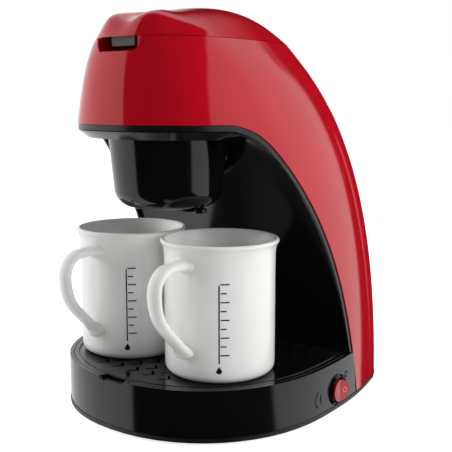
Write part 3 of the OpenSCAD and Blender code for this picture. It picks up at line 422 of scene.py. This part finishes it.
def raise_lip(piece):
    """Lifts the front of the lid, presses the scoop into it and closes the rim."""
    for vert in piece.data.vertices:
        x, y, z = (c / MM for c in vert.co)
        lift = LIP_LIFT * ease(-y, LIP_FROM, LIP_TO) * ease(abs(x), LIP_HALF, LIP_HALF * LIP_LEVEL_SHARE)
        away = math.hypot(x / SCOOP_WIDE, (y - SCOOP_Y) / SCOOP_LONG)
        dip = SCOOP_DIP * ease(away, 1.0, SCOOP_FLOOR_SHARE)
        close = RIM_CLOSER * ease(z, SEAM_Z + RIM_TOP, SEAM_Z + RIM_LOW)
        vert.co.z += ((lift - dip) * ease(z, SEAM_Z, SEAM_Z + LIP_TALL) - close) * MM


lid_piece = bpy.data.objects["lid_skin"]
make_dense(lid_piece, 2)
raise_lip(lid_piece)
print("lid top at", round(max(v.co.z for v in lid_piece.data.vertices) / MM, 1), "mm")

# %% [markdown]
# ### The gland's web
# The cord's gland at the back is empty, because no cord is fitted. A rubber gland is moulded closed and cut
# open for its cord, so a thin web still stands across it and keeps light and dust out. It is a disc with a
# thickness.

# %% Gland web
WEB_RADIUS, WEB_THICK, WEB_PLACE = 5.2, 0.8, Vector((0, 102.5, 18))


def gland_web():
    """A thin disc of rubber across the empty gland."""
    bm = bmesh.new()
    bmesh.ops.create_circle(bm, cap_ends=True, segments=32, radius=WEB_RADIUS * MM)
    upright_ring(bm, bm.verts)
    bmesh.ops.translate(bm, vec=WEB_PLACE * MM, verts=bm.verts)
    thicken(bm, WEB_THICK)
    return piece_from(bm, "gland_web", black_rubber, 40)


dress(gland_web(), "housing", "rubber_black")
print("gland web", WEB_THICK, "mm thick")

# %% [markdown]
# ### The joint between the shells
# The side and back shells meet on each flank. Moulded shells close such a joint with a tongue that laps it
# from inside, and it shows when the lid is up. A small grid is laid over the joint on the inner walls,
# whose places are found by rays from the middle, and is given its thickness inwards.

# %% Lapped tongue
TONGUE_LOW, TONGUE_TOP, TONGUE_REACH, TONGUE_THICK = 214.5, 230.4, 4.0, 1.0
TONGUE_PAST_JOINT, TONGUE_GAP = 0.8, 0.05  # how far a point keeps from the joint, and from the wall
RAY_START = 20.0  # millimetres from the middle, inside both walls
JOINT_SPAN, JOINT_STEPS = 70, 2  # the joint is looked for from the middle to here, in steps of 1/2 mm


def surface_of(node):
    """A solid's surface, ready to be met by rays."""
    bm = bmesh.new()
    bm.from_mesh(cad[node].data)
    tree = BVHTree.FromBMesh(bm)
    bm.free()
    return tree


def wall_x(surfaces, side, y_mm, z_mm):
    """How far out the nearest inner wall is, in millimetres, or None."""
    start = Vector((side * RAY_START, y_mm, z_mm)) * MM
    met = [tree.ray_cast(start, Vector((side, 0, 0)))[0] for tree in surfaces]
    return min((abs(p.x) / MM for p in met if p), default=None)


def tongue(side, name):
    """A strip that laps the joint on one side of the machine."""
    front, back = surface_of("body_shell"), surface_of("back_shell")
    looked_at = [step / JOINT_STEPS for step in range(JOINT_SPAN * JOINT_STEPS)]
    bm = bmesh.new()
    bmesh.ops.create_grid(bm, x_segments=4, y_segments=6, size=0.5)
    for vert in bm.verts:
        z = TONGUE_LOW + (vert.co.y + 0.5) * (TONGUE_TOP - TONGUE_LOW)
        joint = max(y for y in looked_at if wall_x([front], side, y, z))
        reach = vert.co.x * 2 * TONGUE_REACH
        y = joint + reach + math.copysign(TONGUE_PAST_JOINT, reach)
        vert.co = Vector((side * (wall_x([front, back], side, y, z) - TONGUE_GAP), y, z)) * MM
    face_along_x(bm, side)
    thicken(bm, TONGUE_THICK)
    return piece_from(bm, name, red_abs, 40)


for side, name in ((-1, "left_joint_tongue"), (1, "right_joint_tongue")):
    made = dress(tongue(side, name), "housing", "red_gloss")
    print(name, [round(c / MM, 1) for c in made.data.vertices[0].co])

# %% [markdown]
# ### The finger slot
# Below the lip the shell is notched for a finger. A shallow red pocket closes the notch inside, and the
# lid's grey catch hangs into it. The pocket is a box without its front and top, given a wall and soft
# corners. Its front edge follows the curved shell, whose place is found by rays from the front.

# %% Slot pocket
SLOT_HALF, SLOT_FLOOR, POCKET_BACK, POCKET_TALL = 16.6, 222.4, -81.5, 8.6
POCKET_WALL, POCKET_CORNER = 0.7, 2.0
BEHIND_SHELL, BELOW_FLOOR = 1.3, 1.5  # how far the front edge keeps behind the shell, and where that is met
FAR_FRONT, FRONT_EDGE = -200.0, -85.0  # where the rays start, and what every point of the front edge is past


def new_verts(geometry):
    """The points among what an extrusion made."""
    return [g for g in geometry if isinstance(g, bmesh.types.BMVert)]


def slot_pocket():
    """A shallow tray behind the notch, open to the front and the top."""
    bm = bmesh.new()
    shell = surface_of("body_shell")
    bmesh.ops.create_grid(bm, x_segments=12, y_segments=1, size=0.5)
    bmesh.ops.scale(bm, vec=(2 * SLOT_HALF * MM, 1.0, 1.0), verts=bm.verts)
    for vert in bm.verts:
        start = Vector((vert.co.x, FAR_FRONT * MM, (SLOT_FLOOR - BELOW_FLOOR) * MM))
        met = shell.ray_cast(start, Vector((0, 1, 0)))[0]
        vert.co.y = met.y + BEHIND_SHELL * MM if vert.co.y < 0 else POCKET_BACK * MM
        vert.co.z = SLOT_FLOOR * MM
    walls = [e for e in bm.edges if e.is_boundary and not all(v.co.y < FRONT_EDGE * MM for v in e.verts)]
    raised = bmesh.ops.extrude_edge_only(bm, edges=walls)["geom"]
    bmesh.ops.translate(bm, vec=(0, 0, POCKET_TALL * MM), verts=new_verts(raised))
    corners = [e for e in bm.edges if not e.is_boundary and e.calc_face_angle(0.0) > 1.0]
    bmesh.ops.bevel(bm, geom=corners, offset=POCKET_CORNER * MM, segments=4, profile=0.5,
                    affect="EDGES", material=-1)
    bmesh.ops.recalc_face_normals(bm, faces=bm.faces)
    thicken(bm, POCKET_WALL)
    return piece_from(bm, "finger_slot_pocket", red_abs, 40)


pocket = dress(slot_pocket(), "housing", "red_gloss")
print(pocket.name, len(pocket.data.polygons), "faces")

# %% [markdown]
# ### The catch
# The catch is a small block of grey nylon that the finger presses. Its solid is a plain block, so its skin
# is drawn in a little at the sides, moved forwards where it shows, and lifted clear of the slot's floor.

# %% Catch
CATCH_NARROW, CATCH_FORWARD, CATCH_CLEAR = 0.92, 1.0, 0.7
CATCH_FRONT_FACE, CATCH_LOW_FACE = -94.0, 226.0  # points past these belong to the front and the bottom
catch = skin("lid_catch", "lid_catch_block", levels=0, bevel_mm=0.35)
catch.data.materials[0] = catch_satin
for vert in catch.data.vertices:
    vert.co.x *= CATCH_NARROW
    vert.co.y -= CATCH_FORWARD * MM if vert.co.y < CATCH_FRONT_FACE * MM else 0.0
    vert.co.z += CATCH_CLEAR * MM if vert.co.z < CATCH_LOW_FACE * MM else 0.0
print("catch", round(max(v.co.x for v in catch.data.vertices) * 2 / MM, 1), "mm wide")

# %% [markdown]
# ## Turned forms
# A profile spun round an axis is the natural way to make a cup, a basket or a ring. The helper below takes
# a profile as radius and height in millimetres, and corners are rounded with short arcs.

# %% Spinning a profile
def arc(across, up, radius, start_deg, end_deg, steps=6):
    """Points of a corner, as (radius from the axis, height)."""
    angles = [math.radians(start_deg + (end_deg - start_deg) * i / steps) for i in range(steps + 1)]
    return [(across + radius * math.cos(a), up + radius * math.sin(a)) for a in angles]


def lathe(profile, place=(0.0, 0.0, 0.0), steps=96):
    """A bmesh of a profile spun round the vertical axis at a place in millimetres."""
    bm = bmesh.new()
    line = [bm.verts.new((r * MM, 0.0, z * MM)) for r, z in profile]
    edges = [bm.edges.new(pair) for pair in zip(line, line[1:])]
    bmesh.ops.spin(bm, geom=line + edges, cent=(0, 0, 0), axis=(0, 0, 1), angle=math.tau,
                   steps=steps, use_merge=True, use_duplicate=False)
    bmesh.ops.remove_doubles(bm, verts=bm.verts, dist=2 * MERGE_WITHIN * MM)
    bmesh.ops.recalc_face_normals(bm, faces=bm.faces)
    bmesh.ops.translate(bm, verts=bm.verts, vec=Vector(place) * MM)
    return bm


print("a corner of 1 mm ends at", [round(c, 2) for c in arc(0.0, 0.0, 1.0, 0, 90)[-1]])

# %% [markdown]
# ## Mugs
# A mug is cast as a thin wall with a rolled rim and a foot ring. Its profile runs from the middle of the
# foot out and up the wall, over the rim and back down inside. Sizes are in millimetres, and heights are
# from the foot.

# %% Mug sizes
MUG_X, MUG_Y, MUG_FOOT = 37.0, -53.7, 33.0
MUG_R, MUG_H, RIM_R, MUG_WALL = 33.7, 81.5, 36.0, 3.2
FOOT_ROUND, FLOOR_ROUND, RIM_ROUND = 5.0, 6.0, 1.5
RING_R, RING_ROUND, MUG_FLOOR = 26.4, 0.8, 4.5
RECESS_R, RECESS_UP = 24.5, 1.2  # the underside inside the foot ring
print("mug", round(2 * MUG_R, 1), "mm across and", MUG_H, "mm high")

# %% Mug body
def mug_body():
    """The cup without its handle, with its foot at the origin."""
    inner = MUG_R - MUG_WALL
    foot = [(0.0, RECESS_UP), (RECESS_R, RECESS_UP), (RECESS_R + 0.5, RECESS_UP - 0.3)]
    foot += arc(RING_R, RING_ROUND, RING_ROUND, 180, 270, 3)
    outside = arc(MUG_R - FOOT_ROUND, FOOT_ROUND, FOOT_ROUND, -90, 0)
    outside += [(MUG_R, 20), (MUG_R, 45), (MUG_R, MUG_H - 11)]
    outside += [(MUG_R + 0.15, MUG_H - 8), (MUG_R + 0.6, MUG_H - 5)]  # the wall flares into the rim
    rim = arc(RIM_R - RIM_ROUND, MUG_H - RIM_ROUND, RIM_ROUND, -60, 170, 10)
    inside = [(inner + 1.2, MUG_H - 5), (inner + 0.3, MUG_H - 8), (inner, MUG_H - 12)]
    inside += [(inner, 40), (inner, 16)]
    inside += arc(inner - FLOOR_ROUND, MUG_FLOOR + FLOOR_ROUND, FLOOR_ROUND, 0, -90) + [(0.0, MUG_FLOOR)]
    return lathe(foot + outside + rim + inside)


print("wall", MUG_WALL, "mm and floor", MUG_FLOOR, "mm thick")

# %% [markdown]
# ### The handle
# The handle is a separate cast strip that is stuck on with slip, so its ends flare into the body: out from
# the top, round a generous bend, and back down at a slant. An oval ring of edges is extruded step by step
# along that path, and a matrix moves, turns or swells each new ring.

# %% Leading a ring
def move_ring(ring, matrix):
    """Moves a ring's points."""
    for vert in ring:
        vert.co = matrix @ vert.co


def extend(bm, ring_edges, matrix):
    """Extrudes a ring of edges and moves the new ring."""
    made = bmesh.ops.extrude_edge_only(bm, edges=ring_edges)["geom"]
    move_ring(new_verts(made), matrix)
    return [g for g in made if isinstance(g, bmesh.types.BMEdge)]


def ring_centre(edges):
    """The middle of a ring's points."""
    points = {v for e in edges for v in e.verts}
    return sum((v.co for v in points), Vector()) / len(points)


def about(centre, matrix):
    """A turn or a scale that leaves a centre where it is."""
    return Matrix.Translation(centre) @ matrix @ Matrix.Translation(-centre)


def swell(edges, factor):
    """Makes a ring larger or smaller where it stands."""
    move_ring({v for e in edges for v in e.verts}, about(ring_centre(edges), Matrix.Scale(factor, 4)))


def lead_straight(bm, edges, along, steps):
    """Leads a ring along a direction, by steps of (length in millimetres, swelling)."""
    for length, factor in steps:
        edges = extend(bm, edges, Matrix.Translation(along * length * MM))
        swell(edges, factor)
    return edges


def lead_round(bm, edges, centre, degrees, steps):
    """Leads a ring round a bend."""
    step = about(centre, Matrix.Rotation(math.radians(degrees / steps), 4, "X"))
    for _ in range(steps):
        edges = extend(bm, edges, step)
    return edges


print("each bend is led in equal turns, such as 90 degrees in 10 steps of", 90 / 10)

# %% Mug handle
HANDLE_REACH, HANDLE_TOP, HANDLE_LOW = 57.8, 69.5, 54.7
BEND_TOP, BEND_LOW, SLANT = 13.0, 30.0, 45.0
STRIP_WIDE, STRIP_THICK, STRIP_START = 4.8, 3.0, -31.5
ENDS_IN_WALL, ROOT_SWELL = 1.7, 1.75
TOP_ROOT = ((1.6, 1.0), (1.2, 0.82), (1.6, 0.83), (2.6, 0.86))  # the flare thins into the strip
LOW_ROOT = ((8.0, 1.0), (7.5, 1.0), (2.6, 1.1), (1.8, 1.15), (1.4, 1.2), (2.0, 1.05))


def handle_strip():
    """The strip's ring starts inside the wall and is led along its path in the plane x = 0."""
    bm = bmesh.new()
    ring = bmesh.ops.create_circle(bm, segments=20, radius=1.0)["verts"]
    bmesh.ops.scale(bm, vec=(STRIP_WIDE * MM, STRIP_THICK * MM, 1.0), verts=ring)
    upright_ring(bm, ring)
    bmesh.ops.translate(bm, vec=Vector((0, STRIP_START, HANDLE_TOP)) * MM, verts=ring)
    edges = list(bm.edges)
    bmesh.ops.contextual_create(bm, geom=edges)
    swell(edges, ROOT_SWELL)
    edges = lead_straight(bm, edges, Vector((0, -1, 0)), TOP_ROOT)
    reach = -HANDLE_REACH + BEND_TOP
    edges = extend(bm, edges, Matrix.Translation(Vector((0, reach * MM - ring_centre(edges).y, 0))))
    edges = lead_round(bm, edges, Vector((0, reach, HANDLE_TOP - BEND_TOP)) * MM, 90, 10)
    drop = HANDLE_TOP - BEND_TOP - HANDLE_LOW
    edges = lead_straight(bm, edges, Vector((0, 0, -1)), ((drop / 2, 1.0), (drop / 2, 1.0)))
    edges = lead_round(bm, edges, Vector((0, -HANDLE_REACH + BEND_LOW, HANDLE_LOW)) * MM, SLANT, 6)
    edges = lead_straight(bm, edges, Vector((0, 1, -1)).normalized(), LOW_ROOT)
    bmesh.ops.contextual_create(bm, geom=edges)
    least = (MUG_R - ENDS_IN_WALL) * MM
    for vert in bm.verts:  # both ends stop inside the wall
        away = math.hypot(vert.co.x, vert.co.y)
        if away < least:
            vert.co.x, vert.co.y = (c * least / away for c in vert.co.xy)
    bmesh.ops.recalc_face_normals(bm, faces=bm.faces)
    return bm


print("handle reaches", HANDLE_REACH, "mm from the mug's axis")

# %% [markdown]
# ### Two mugs
# Both mugs are alike and stand side by side, handles forwards. The strip's ends stay inside the wall, where
# the glaze hides them, so strip and cup need no cut between them. One subdivision rounds them together.

# %% Two mugs
def mug_name(side):
    """The name of a mug's body, which is also that of its solid."""
    return "mug_left" if side < 0 else "mug_right"


def mug(name, side):
    """The cup with its handle, on one side of the machine."""
    bm = mug_body()
    strip = handle_strip()
    carried = bpy.data.meshes.new("strip")
    strip.to_mesh(carried)
    strip.free()
    bm.from_mesh(carried)
    bpy.data.meshes.remove(carried)
    bmesh.ops.translate(bm, verts=bm.verts, vec=Vector((side * MUG_X, MUG_Y, MUG_FOOT)) * MM)
    piece = piece_from(bm, name, glaze, 50)
    smooth = piece.modifiers.new("cast_skin", "SUBSURF")
    smooth.levels = smooth.render_levels = 1
    return dress(piece, mug_name(side), "mug_white", mug_name(side))


for side, name in ((-1, "left_mug"), (1, "right_mug")):
    made = mug(name, side)
    print(name, len(made.data.polygons), "faces")

# %% [markdown]
# ### A printed scale on each mug
# The decoration is a plain measuring scale: a line with short and long ticks, and a drop at its foot. It is
# a transfer fired under the glaze. It is drawn flat from bars and a drop, given a thickness of a few
# hundredths of a millimetre and rolled round the wall.

# %% Drawing a print
PRINT_AZIMUTH, PRINT_OUT, PRINT_THICK = -52.0, 0.02, 0.06  # degrees round the mug from +X, and millimetres
BAR_PIECE = 1.5  # a bar is cut this short, so that it bends round the wall
DROP_TIP, DROP_HOLLOW = 1.7, 0.8  # how much taller the tip is than round, and how its sides draw in


def wrap(bm, side, azimuth_deg, radius):
    """Rolls a flat print, drawn as (across, up) in millimetres, round a mug's wall."""
    for vert in bm.verts:
        turned = math.radians(azimuth_deg) + vert.co.x / radius
        out = radius + vert.co.z
        vert.co = Vector((side * MUG_X + out * math.cos(turned), MUG_Y + out * math.sin(turned),
                          MUG_FOOT + vert.co.y)) * MM


def bar(bm, across, up, wide, tall):
    """Adds a flat bar with its middle at a place."""
    pieces = max(1, round(wide / BAR_PIECE))
    made = bmesh.ops.create_grid(bm, x_segments=pieces, y_segments=1, size=0.5)["verts"]
    bmesh.ops.scale(bm, vec=(wide, tall, 1), verts=made)
    bmesh.ops.translate(bm, vec=(across, up, 0), verts=made)


def drop_mark(bm, across, up, size):
    """Adds a flat drop: a disc whose upper half is drawn up into a tip."""
    made = bmesh.ops.create_circle(bm, cap_ends=True, segments=20, radius=size)["verts"]
    for vert in made:
        if vert.co.y > 0:
            vert.co.x *= max(0.0, 1 - vert.co.y / size) ** DROP_HOLLOW
            vert.co.y *= DROP_TIP
    bmesh.ops.translate(bm, vec=(across, up, 0), verts=made)


print("print", PRINT_THICK, "mm thick")

# %% Mug scale
SCALE_MIDDLE, SCALE_TALL, LINE_WIDE = 36.0, 46.0, 0.75
TICKS, TICK_FIRST, TICK_STEP = 9, 18.0, 5.2
LONG_TICK, SHORT_TICK = (3.4, 5.2), (2.6, 3.4)  # middle and width
DROP_UP, DROP_SIZE = 8.6, 1.7


def mug_scale(side, name):
    """The line with its ticks and its drop, on one mug."""
    bm = bmesh.new()
    bar(bm, 0.0, SCALE_MIDDLE, LINE_WIDE, SCALE_TALL)
    for i in range(TICKS):
        middle, wide = SHORT_TICK if i % 2 else LONG_TICK
        bar(bm, middle, TICK_FIRST + i * TICK_STEP, wide, LINE_WIDE)
    drop_mark(bm, 0.0, DROP_UP, DROP_SIZE)
    bmesh.ops.solidify(bm, geom=bm.faces[:], thickness=-PRINT_THICK)
    wrap(bm, side, PRINT_AZIMUTH, MUG_R + PRINT_OUT)
    bmesh.ops.remove_doubles(bm, verts=bm.verts, dist=0.001 * MM)
    bmesh.ops.recalc_face_normals(bm, faces=bm.faces)
    piece = piece_from(bm, name, mug_ink, 60)
    return dress(piece, mug_name(side), "mug_white")


for side, name in ((-1, "left_mug_scale"), (1, "right_mug_scale")):
    made = mug_scale(side, name)
    print(name, len(made.data.polygons), "faces")

# %% [markdown]
# ## Filter basket
# The basket hangs through the head's underside: a tapered cup with a round lower edge and a thin rolled
# flange that rests on the deck. It is spun like the mugs. Its two holes are hidden by the boat-shaped outlet
# under it, so the skin is left whole there.

# %% Basket
BASKET_Y, BASKET_Z, DECK_TOP = -58.0, 131.0, 212.0
BASKET_TOP_R, BASKET_LOW_R, BASKET_ROUND, BASKET_WALL = 40.0, 33.6, 12.0, 1.8
FLANGE = ((2.6, 0.0), (3.0, 0.4), (3.0, 1.5), (2.7, 1.8))  # out from the basket's top and up from the deck


def basket():
    """The cup and its flange, at the place where it hangs."""
    low, bend_z, wall = BASKET_LOW_R - BASKET_ROUND, BASKET_Z + BASKET_ROUND, BASKET_WALL
    outside = [(0.0, BASKET_Z), (low * 0.6, BASKET_Z)] + arc(low, bend_z, BASKET_ROUND, -90, 0, 12)
    outside += [(BASKET_TOP_R, DECK_TOP - 2), (BASKET_TOP_R, DECK_TOP)]
    outside += [(BASKET_TOP_R + out, DECK_TOP + up) for out, up in FLANGE]
    inside = [(BASKET_TOP_R - wall, DECK_TOP + FLANGE[-1][1]), (BASKET_LOW_R - wall, bend_z)]
    inside += arc(low, bend_z, BASKET_ROUND - wall, 0, -90, 8) + [(0.0, BASKET_Z + wall)]
    spun = lathe(outside + inside, (0.0, BASKET_Y, 0.0), 128)
    return piece_from(spun, "filter_basket_skin", black_abs, 40)


made = dress(basket(), "housing", "black_gloss", "filter_basket")
print(made.name, len(made.data.polygons), "faces")

# %% [markdown]
# ## Rocker switch
# The rocker is a clear red cap that stands out of its ring, with two faces that meet in a shallow ridge.
# One half is pressed in, so the faces catch different light. Its skin is a copy of the solid with rounder
# edges, whose outer points are moved out.

# %% Rocker skin
CAP_STANDS_OUT, CAP_FROM = 2.6, 87.5  # millimetres: how far, and which points along X
rocker_lens = skin("rocker", "rocker_lens", levels=0, sharp_deg=25, bevel_mm=0.7)
for vert in rocker_lens.data.vertices:
    if vert.co.x > CAP_FROM * MM:
        vert.co.x += CAP_STANDS_OUT * MM
print("rocker cap to", round(max(v.co.x for v in rocker_lens.data.vertices) / MM, 1), "mm")

# %% [markdown]
# ### Bar and ring
# The international marks, a bar for on and a ring for off, are printed on the cap and moulded as dull marks
# in the wall on either side of it. Each is drawn flat, and every point is then dropped onto the curved
# surface by a ray before the mark gets its thickness.

# %% Drawing a mark
ARC_STEP = 15  # degrees


def bar_mark(tall, wide):
    """A flat bar with round ends."""
    bm = bmesh.new()
    made = bmesh.ops.create_circle(bm, cap_ends=True, segments=16, radius=wide / 2 * MM)["verts"]
    for vert in made:
        vert.co.y += math.copysign((tall - wide) / 2 * MM, vert.co.y)
    return bm


def arc_mark(radius, wide, start_deg=0.0, sweep_deg=360.0):
    """A flat ring, or a stretch of one."""
    bm = bmesh.new()
    ends = [bm.verts.new((r * MM, 0.0, 0.0)) for r in (radius - wide, radius)]
    edge = bm.edges.new(ends)
    start = Matrix.Rotation(math.radians(start_deg), 3, "Z")
    bmesh.ops.rotate(bm, cent=(0, 0, 0), matrix=start, verts=ends)
    bmesh.ops.spin(bm, geom=ends + [edge], cent=(0, 0, 0), axis=(0, 0, 1), angle=math.radians(sweep_deg),
                   steps=round(sweep_deg / ARC_STEP), use_merge=sweep_deg == 360.0, use_duplicate=False)
    return bm


print("a ring is spun in steps of", ARC_STEP, "degrees")

# %% Pressing a mark on a surface
FAR_RIGHT = 200.0  # millimetres along X, where the rays start


def press_on(bm, name, ink, node, along, up, raised_mm):
    """Lays a flat mark on the outside of a solid, at a place along Y and up Z."""
    target = surface_of(node)
    bmesh.ops.subdivide_edges(bm, edges=bm.edges[:], cuts=1, use_grid_fill=True)
    for vert in bm.verts:
        place = Vector((FAR_RIGHT, along + vert.co.x / MM, up + vert.co.y / MM)) * MM
        vert.co = target.ray_cast(place, Vector((-1, 0, 0)))[0]
    face_along_x(bm, 1)
    bmesh.ops.translate(bm, vec=(0.5 * raised_mm * MM, 0, 0), verts=bm.verts)
    thicken(bm, raised_mm)
    return piece_from(bm, name, ink, 60)


print("marks are dropped from", FAR_RIGHT, "mm to the right")

# %% Marks on the wall and the cap
SWITCH_Y, SWITCH_Z = 0.6, 14.6
WALL_RAISED, CAP_RAISED = 0.12, 0.08
WALL_MARKS = (  # shape, name, then how far it is from the switch along Y and up Z
    (bar_mark(5.6, 1.1), "wall_on_bar", -20.0, -0.5),
    (arc_mark(6.0, 0.9, 118.0, 120.0), "wall_on_bracket", -20.0, -0.5),
    (arc_mark(2.3, 0.9), "wall_off_ring", 12.0, 7.0),
)
CAP_MARKS = ((bar_mark(3.6, 0.7), "cap_on_bar", -3.4), (arc_mark(1.8, 0.6), "cap_off_ring", 3.2))
for bm, name, along, up in WALL_MARKS:
    made = press_on(bm, name, dull_mark, "base_housing", SWITCH_Y + along, SWITCH_Z + up, WALL_RAISED)
    dress(made, "housing", "black_gloss")
for bm, name, along in CAP_MARKS:
    made = press_on(bm, name, mark_ink, "rocker", SWITCH_Y + along, SWITCH_Z, CAP_RAISED)
    for vert in made.data.vertices:
        vert.co.x += CAP_STANDS_OUT * MM
    dress(made, "rocker", "rocker_red")
print(len(WALL_MARKS) + len(CAP_MARKS), "marks")

# %% [markdown]
# ## Light
# A glossy machine shows its surroundings, so the studio is drawn for it: white all round, with one dark
# strip in front of the machine and one behind it. The front one gives the dome a deep red middle between two
# pale flanks, and the black base a black middle between grey ends. The rear one deepens the rounded back.
# The sky is split by planes through its middle, because a plane's edge in the sky becomes one clean line in
# a reflection.

# %% Splitting the sky
world = bpy.data.worlds.new("studio")
bpy.context.scene.world = world
world.use_nodes = True
sky = world.node_tree
sky.nodes.clear()
look = add(sky, "ShaderNodeTexCoord")


def side_of(plane, softness):
    """1 on the side of the sky that a plane's normal points to, fading over a little width."""
    toward = add(sky, "ShaderNodeVectorMath", {"operation": "DOT_PRODUCT"},
                 {0: look.outputs["Generated"]})
    toward.inputs[1].default_value = plane
    fade = {"interpolation_type": "SMOOTHSTEP", "From Min": -softness, "From Max": softness}
    return add(sky, "ShaderNodeMapRange", fade, {"Value": toward.outputs["Value"]}).outputs[0]


def both(first, second, operation="MULTIPLY"):
    """Joins two masks or values: MULTIPLY keeps what is in both, MAXIMUM what is in either."""
    made = add(sky, "ShaderNodeMath", {"operation": operation})
    for socket, source in enumerate((first, second)):
        if isinstance(source, float):
            made.inputs[socket].default_value = source
        else:
            sky.links.new(source, made.inputs[socket])
    return made.outputs[0]


print("sky nodes so far:", len(sky.nodes))

# %% Dark strips
# each plane's normal points to the dark side, and its edge fades over the width that follows it
CRISP, SOFT = 0.03, 0.2
LEFT_LEVEL, LEFT_RAISED = (0.891, -0.454, 0.0), (0.891, -0.454, 0.3)
RIGHT_HIGH, RIGHT_LOW = (-0.371, -0.698, 0.613), (-0.168, -0.651, -0.740)
REAR_LEFT, REAR_RIGHT, REAR_TOP = (-0.9845, 0.1754, 0.0), (0.755, 0.656, 0.0), (-0.123, 0.696, -0.707)
left_edge = both(side_of(LEFT_LEVEL, CRISP), side_of(LEFT_RAISED, CRISP), "MAXIMUM")
right_edge = both(side_of(RIGHT_HIGH, CRISP), side_of(RIGHT_LOW, CRISP), "MAXIMUM")
front_strip = both(left_edge, right_edge)
rear_strip = both(both(side_of(REAR_LEFT, 0.02), side_of(REAR_RIGHT, 0.05)), side_of(REAR_TOP, SOFT))
dark_strip = both(front_strip, rear_strip, "MAXIMUM")
print("dark strips from", len([n for n in sky.nodes if n.type == "VECT_MATH"]), "planes")

# %% [markdown]
# ### Who sees which sky
# A reflection sees the strips, the camera sees plain white, and the light that falls on matte surfaces is a
# low even fill, so that the lamps and not the sky shape the mugs. Light Path tells these rays apart.

# %% Sky for each kind of ray
DARK, WHITE, FILL = 0.012, 1.05, 0.3
mirrored = both(both(dark_strip, DARK - WHITE), WHITE, "ADD")
path = add(sky, "ShaderNodeLightPath")
is_seen = both(path.outputs["Is Camera Ray"], path.outputs["Is Transmission Ray"], "MAXIMUM")
unmirrored = both(both(is_seen, 1.0 - FILL), FILL, "ADD")
strength = add(sky, "ShaderNodeMix", {"data_type": "FLOAT"})
for socket, source in zip((0, 2, 3), (path.outputs["Is Glossy Ray"], unmirrored, mirrored)):
    sky.links.new(source, strength.inputs[socket])
background = add(sky, "ShaderNodeBackground", {"Color": linear("#ffffff")},
                 {"Strength": strength.outputs[0]})
add(sky, "ShaderNodeOutputWorld", None, {"Surface": background.outputs[0]})
print("a reflection sees", WHITE, "or", DARK, "and a matte surface", FILL)

# %% [markdown]
# ### Lamps
# Three large soft boxes light the matte surfaces: one from the right, a stronger one from the left front and
# a weak one from above. They are kept out of reflections, where the strips already do their work.

# %% Soft boxes
def lamp(name, place, aim, size, watts):
    """A square soft box that no reflection shows."""
    data = bpy.data.lights.new(name, "AREA")
    data.shape = "SQUARE"
    data.size = size
    data.energy = watts
    made = bpy.data.objects.new(name, data)
    made.location = place
    made.rotation_euler = (Vector(aim) - Vector(place)).to_track_quat("-Z", "Y").to_euler()
    made.visible_glossy = False
    bpy.context.collection.objects.link(made)


LAMPS = (  # name, place and width in metres, power in watts
    ("right_soft_box", (0.93, 0.22, 0.42), 0.6, 6.8),
    ("left_soft_box", (-0.9, -0.5, 0.5), 0.6, 8.0),
    ("top_soft_box", (0.0, -0.1, 1.2), 0.8, 2.0),
)
for name, place, wide, watts in LAMPS:
    lamp(name, place, (0.0, 0.0, 0.1), wide, watts)
print(len(LAMPS), "soft boxes,", sum(watts for *_, watts in LAMPS), "W in all")

# %% [markdown]
# ### Floor
# The machine stands on a sheet of pale paper. Paper keeps the soft shadow under the machine, and a glow that
# only the camera sees lifts it to the white of the sky, with no more light on the machine.

# %% Pale floor
FLOOR_GLOW, FLOOR_HALF = 0.8, 4.0  # strength, and metres
floor_finish = finish("pale_paper", "#f4f4f4", 0.6, {"Emission Color": linear("#ffffff")})
vary(floor_finish, noise(floor_finish, 40.0), "Roughness", 0.55, 0.65)
seen = add(floor_finish.node_tree, "ShaderNodeLightPath")
glow = add(floor_finish.node_tree, "ShaderNodeMath", {"operation": "MULTIPLY"},
           {0: seen.outputs["Is Camera Ray"]})
glow.inputs[1].default_value = FLOOR_GLOW
floor_finish.node_tree.links.new(
    glow.outputs[0], floor_finish.node_tree.nodes["Principled BSDF"].inputs["Emission Strength"])
bm = bmesh.new()
bmesh.ops.create_grid(bm, x_segments=1, y_segments=1, size=FLOOR_HALF)
floor = piece_from(bm, "paper_floor", floor_finish)
floor.visible_glossy = False
print(floor.name, 2 * FLOOR_HALF, "m wide")
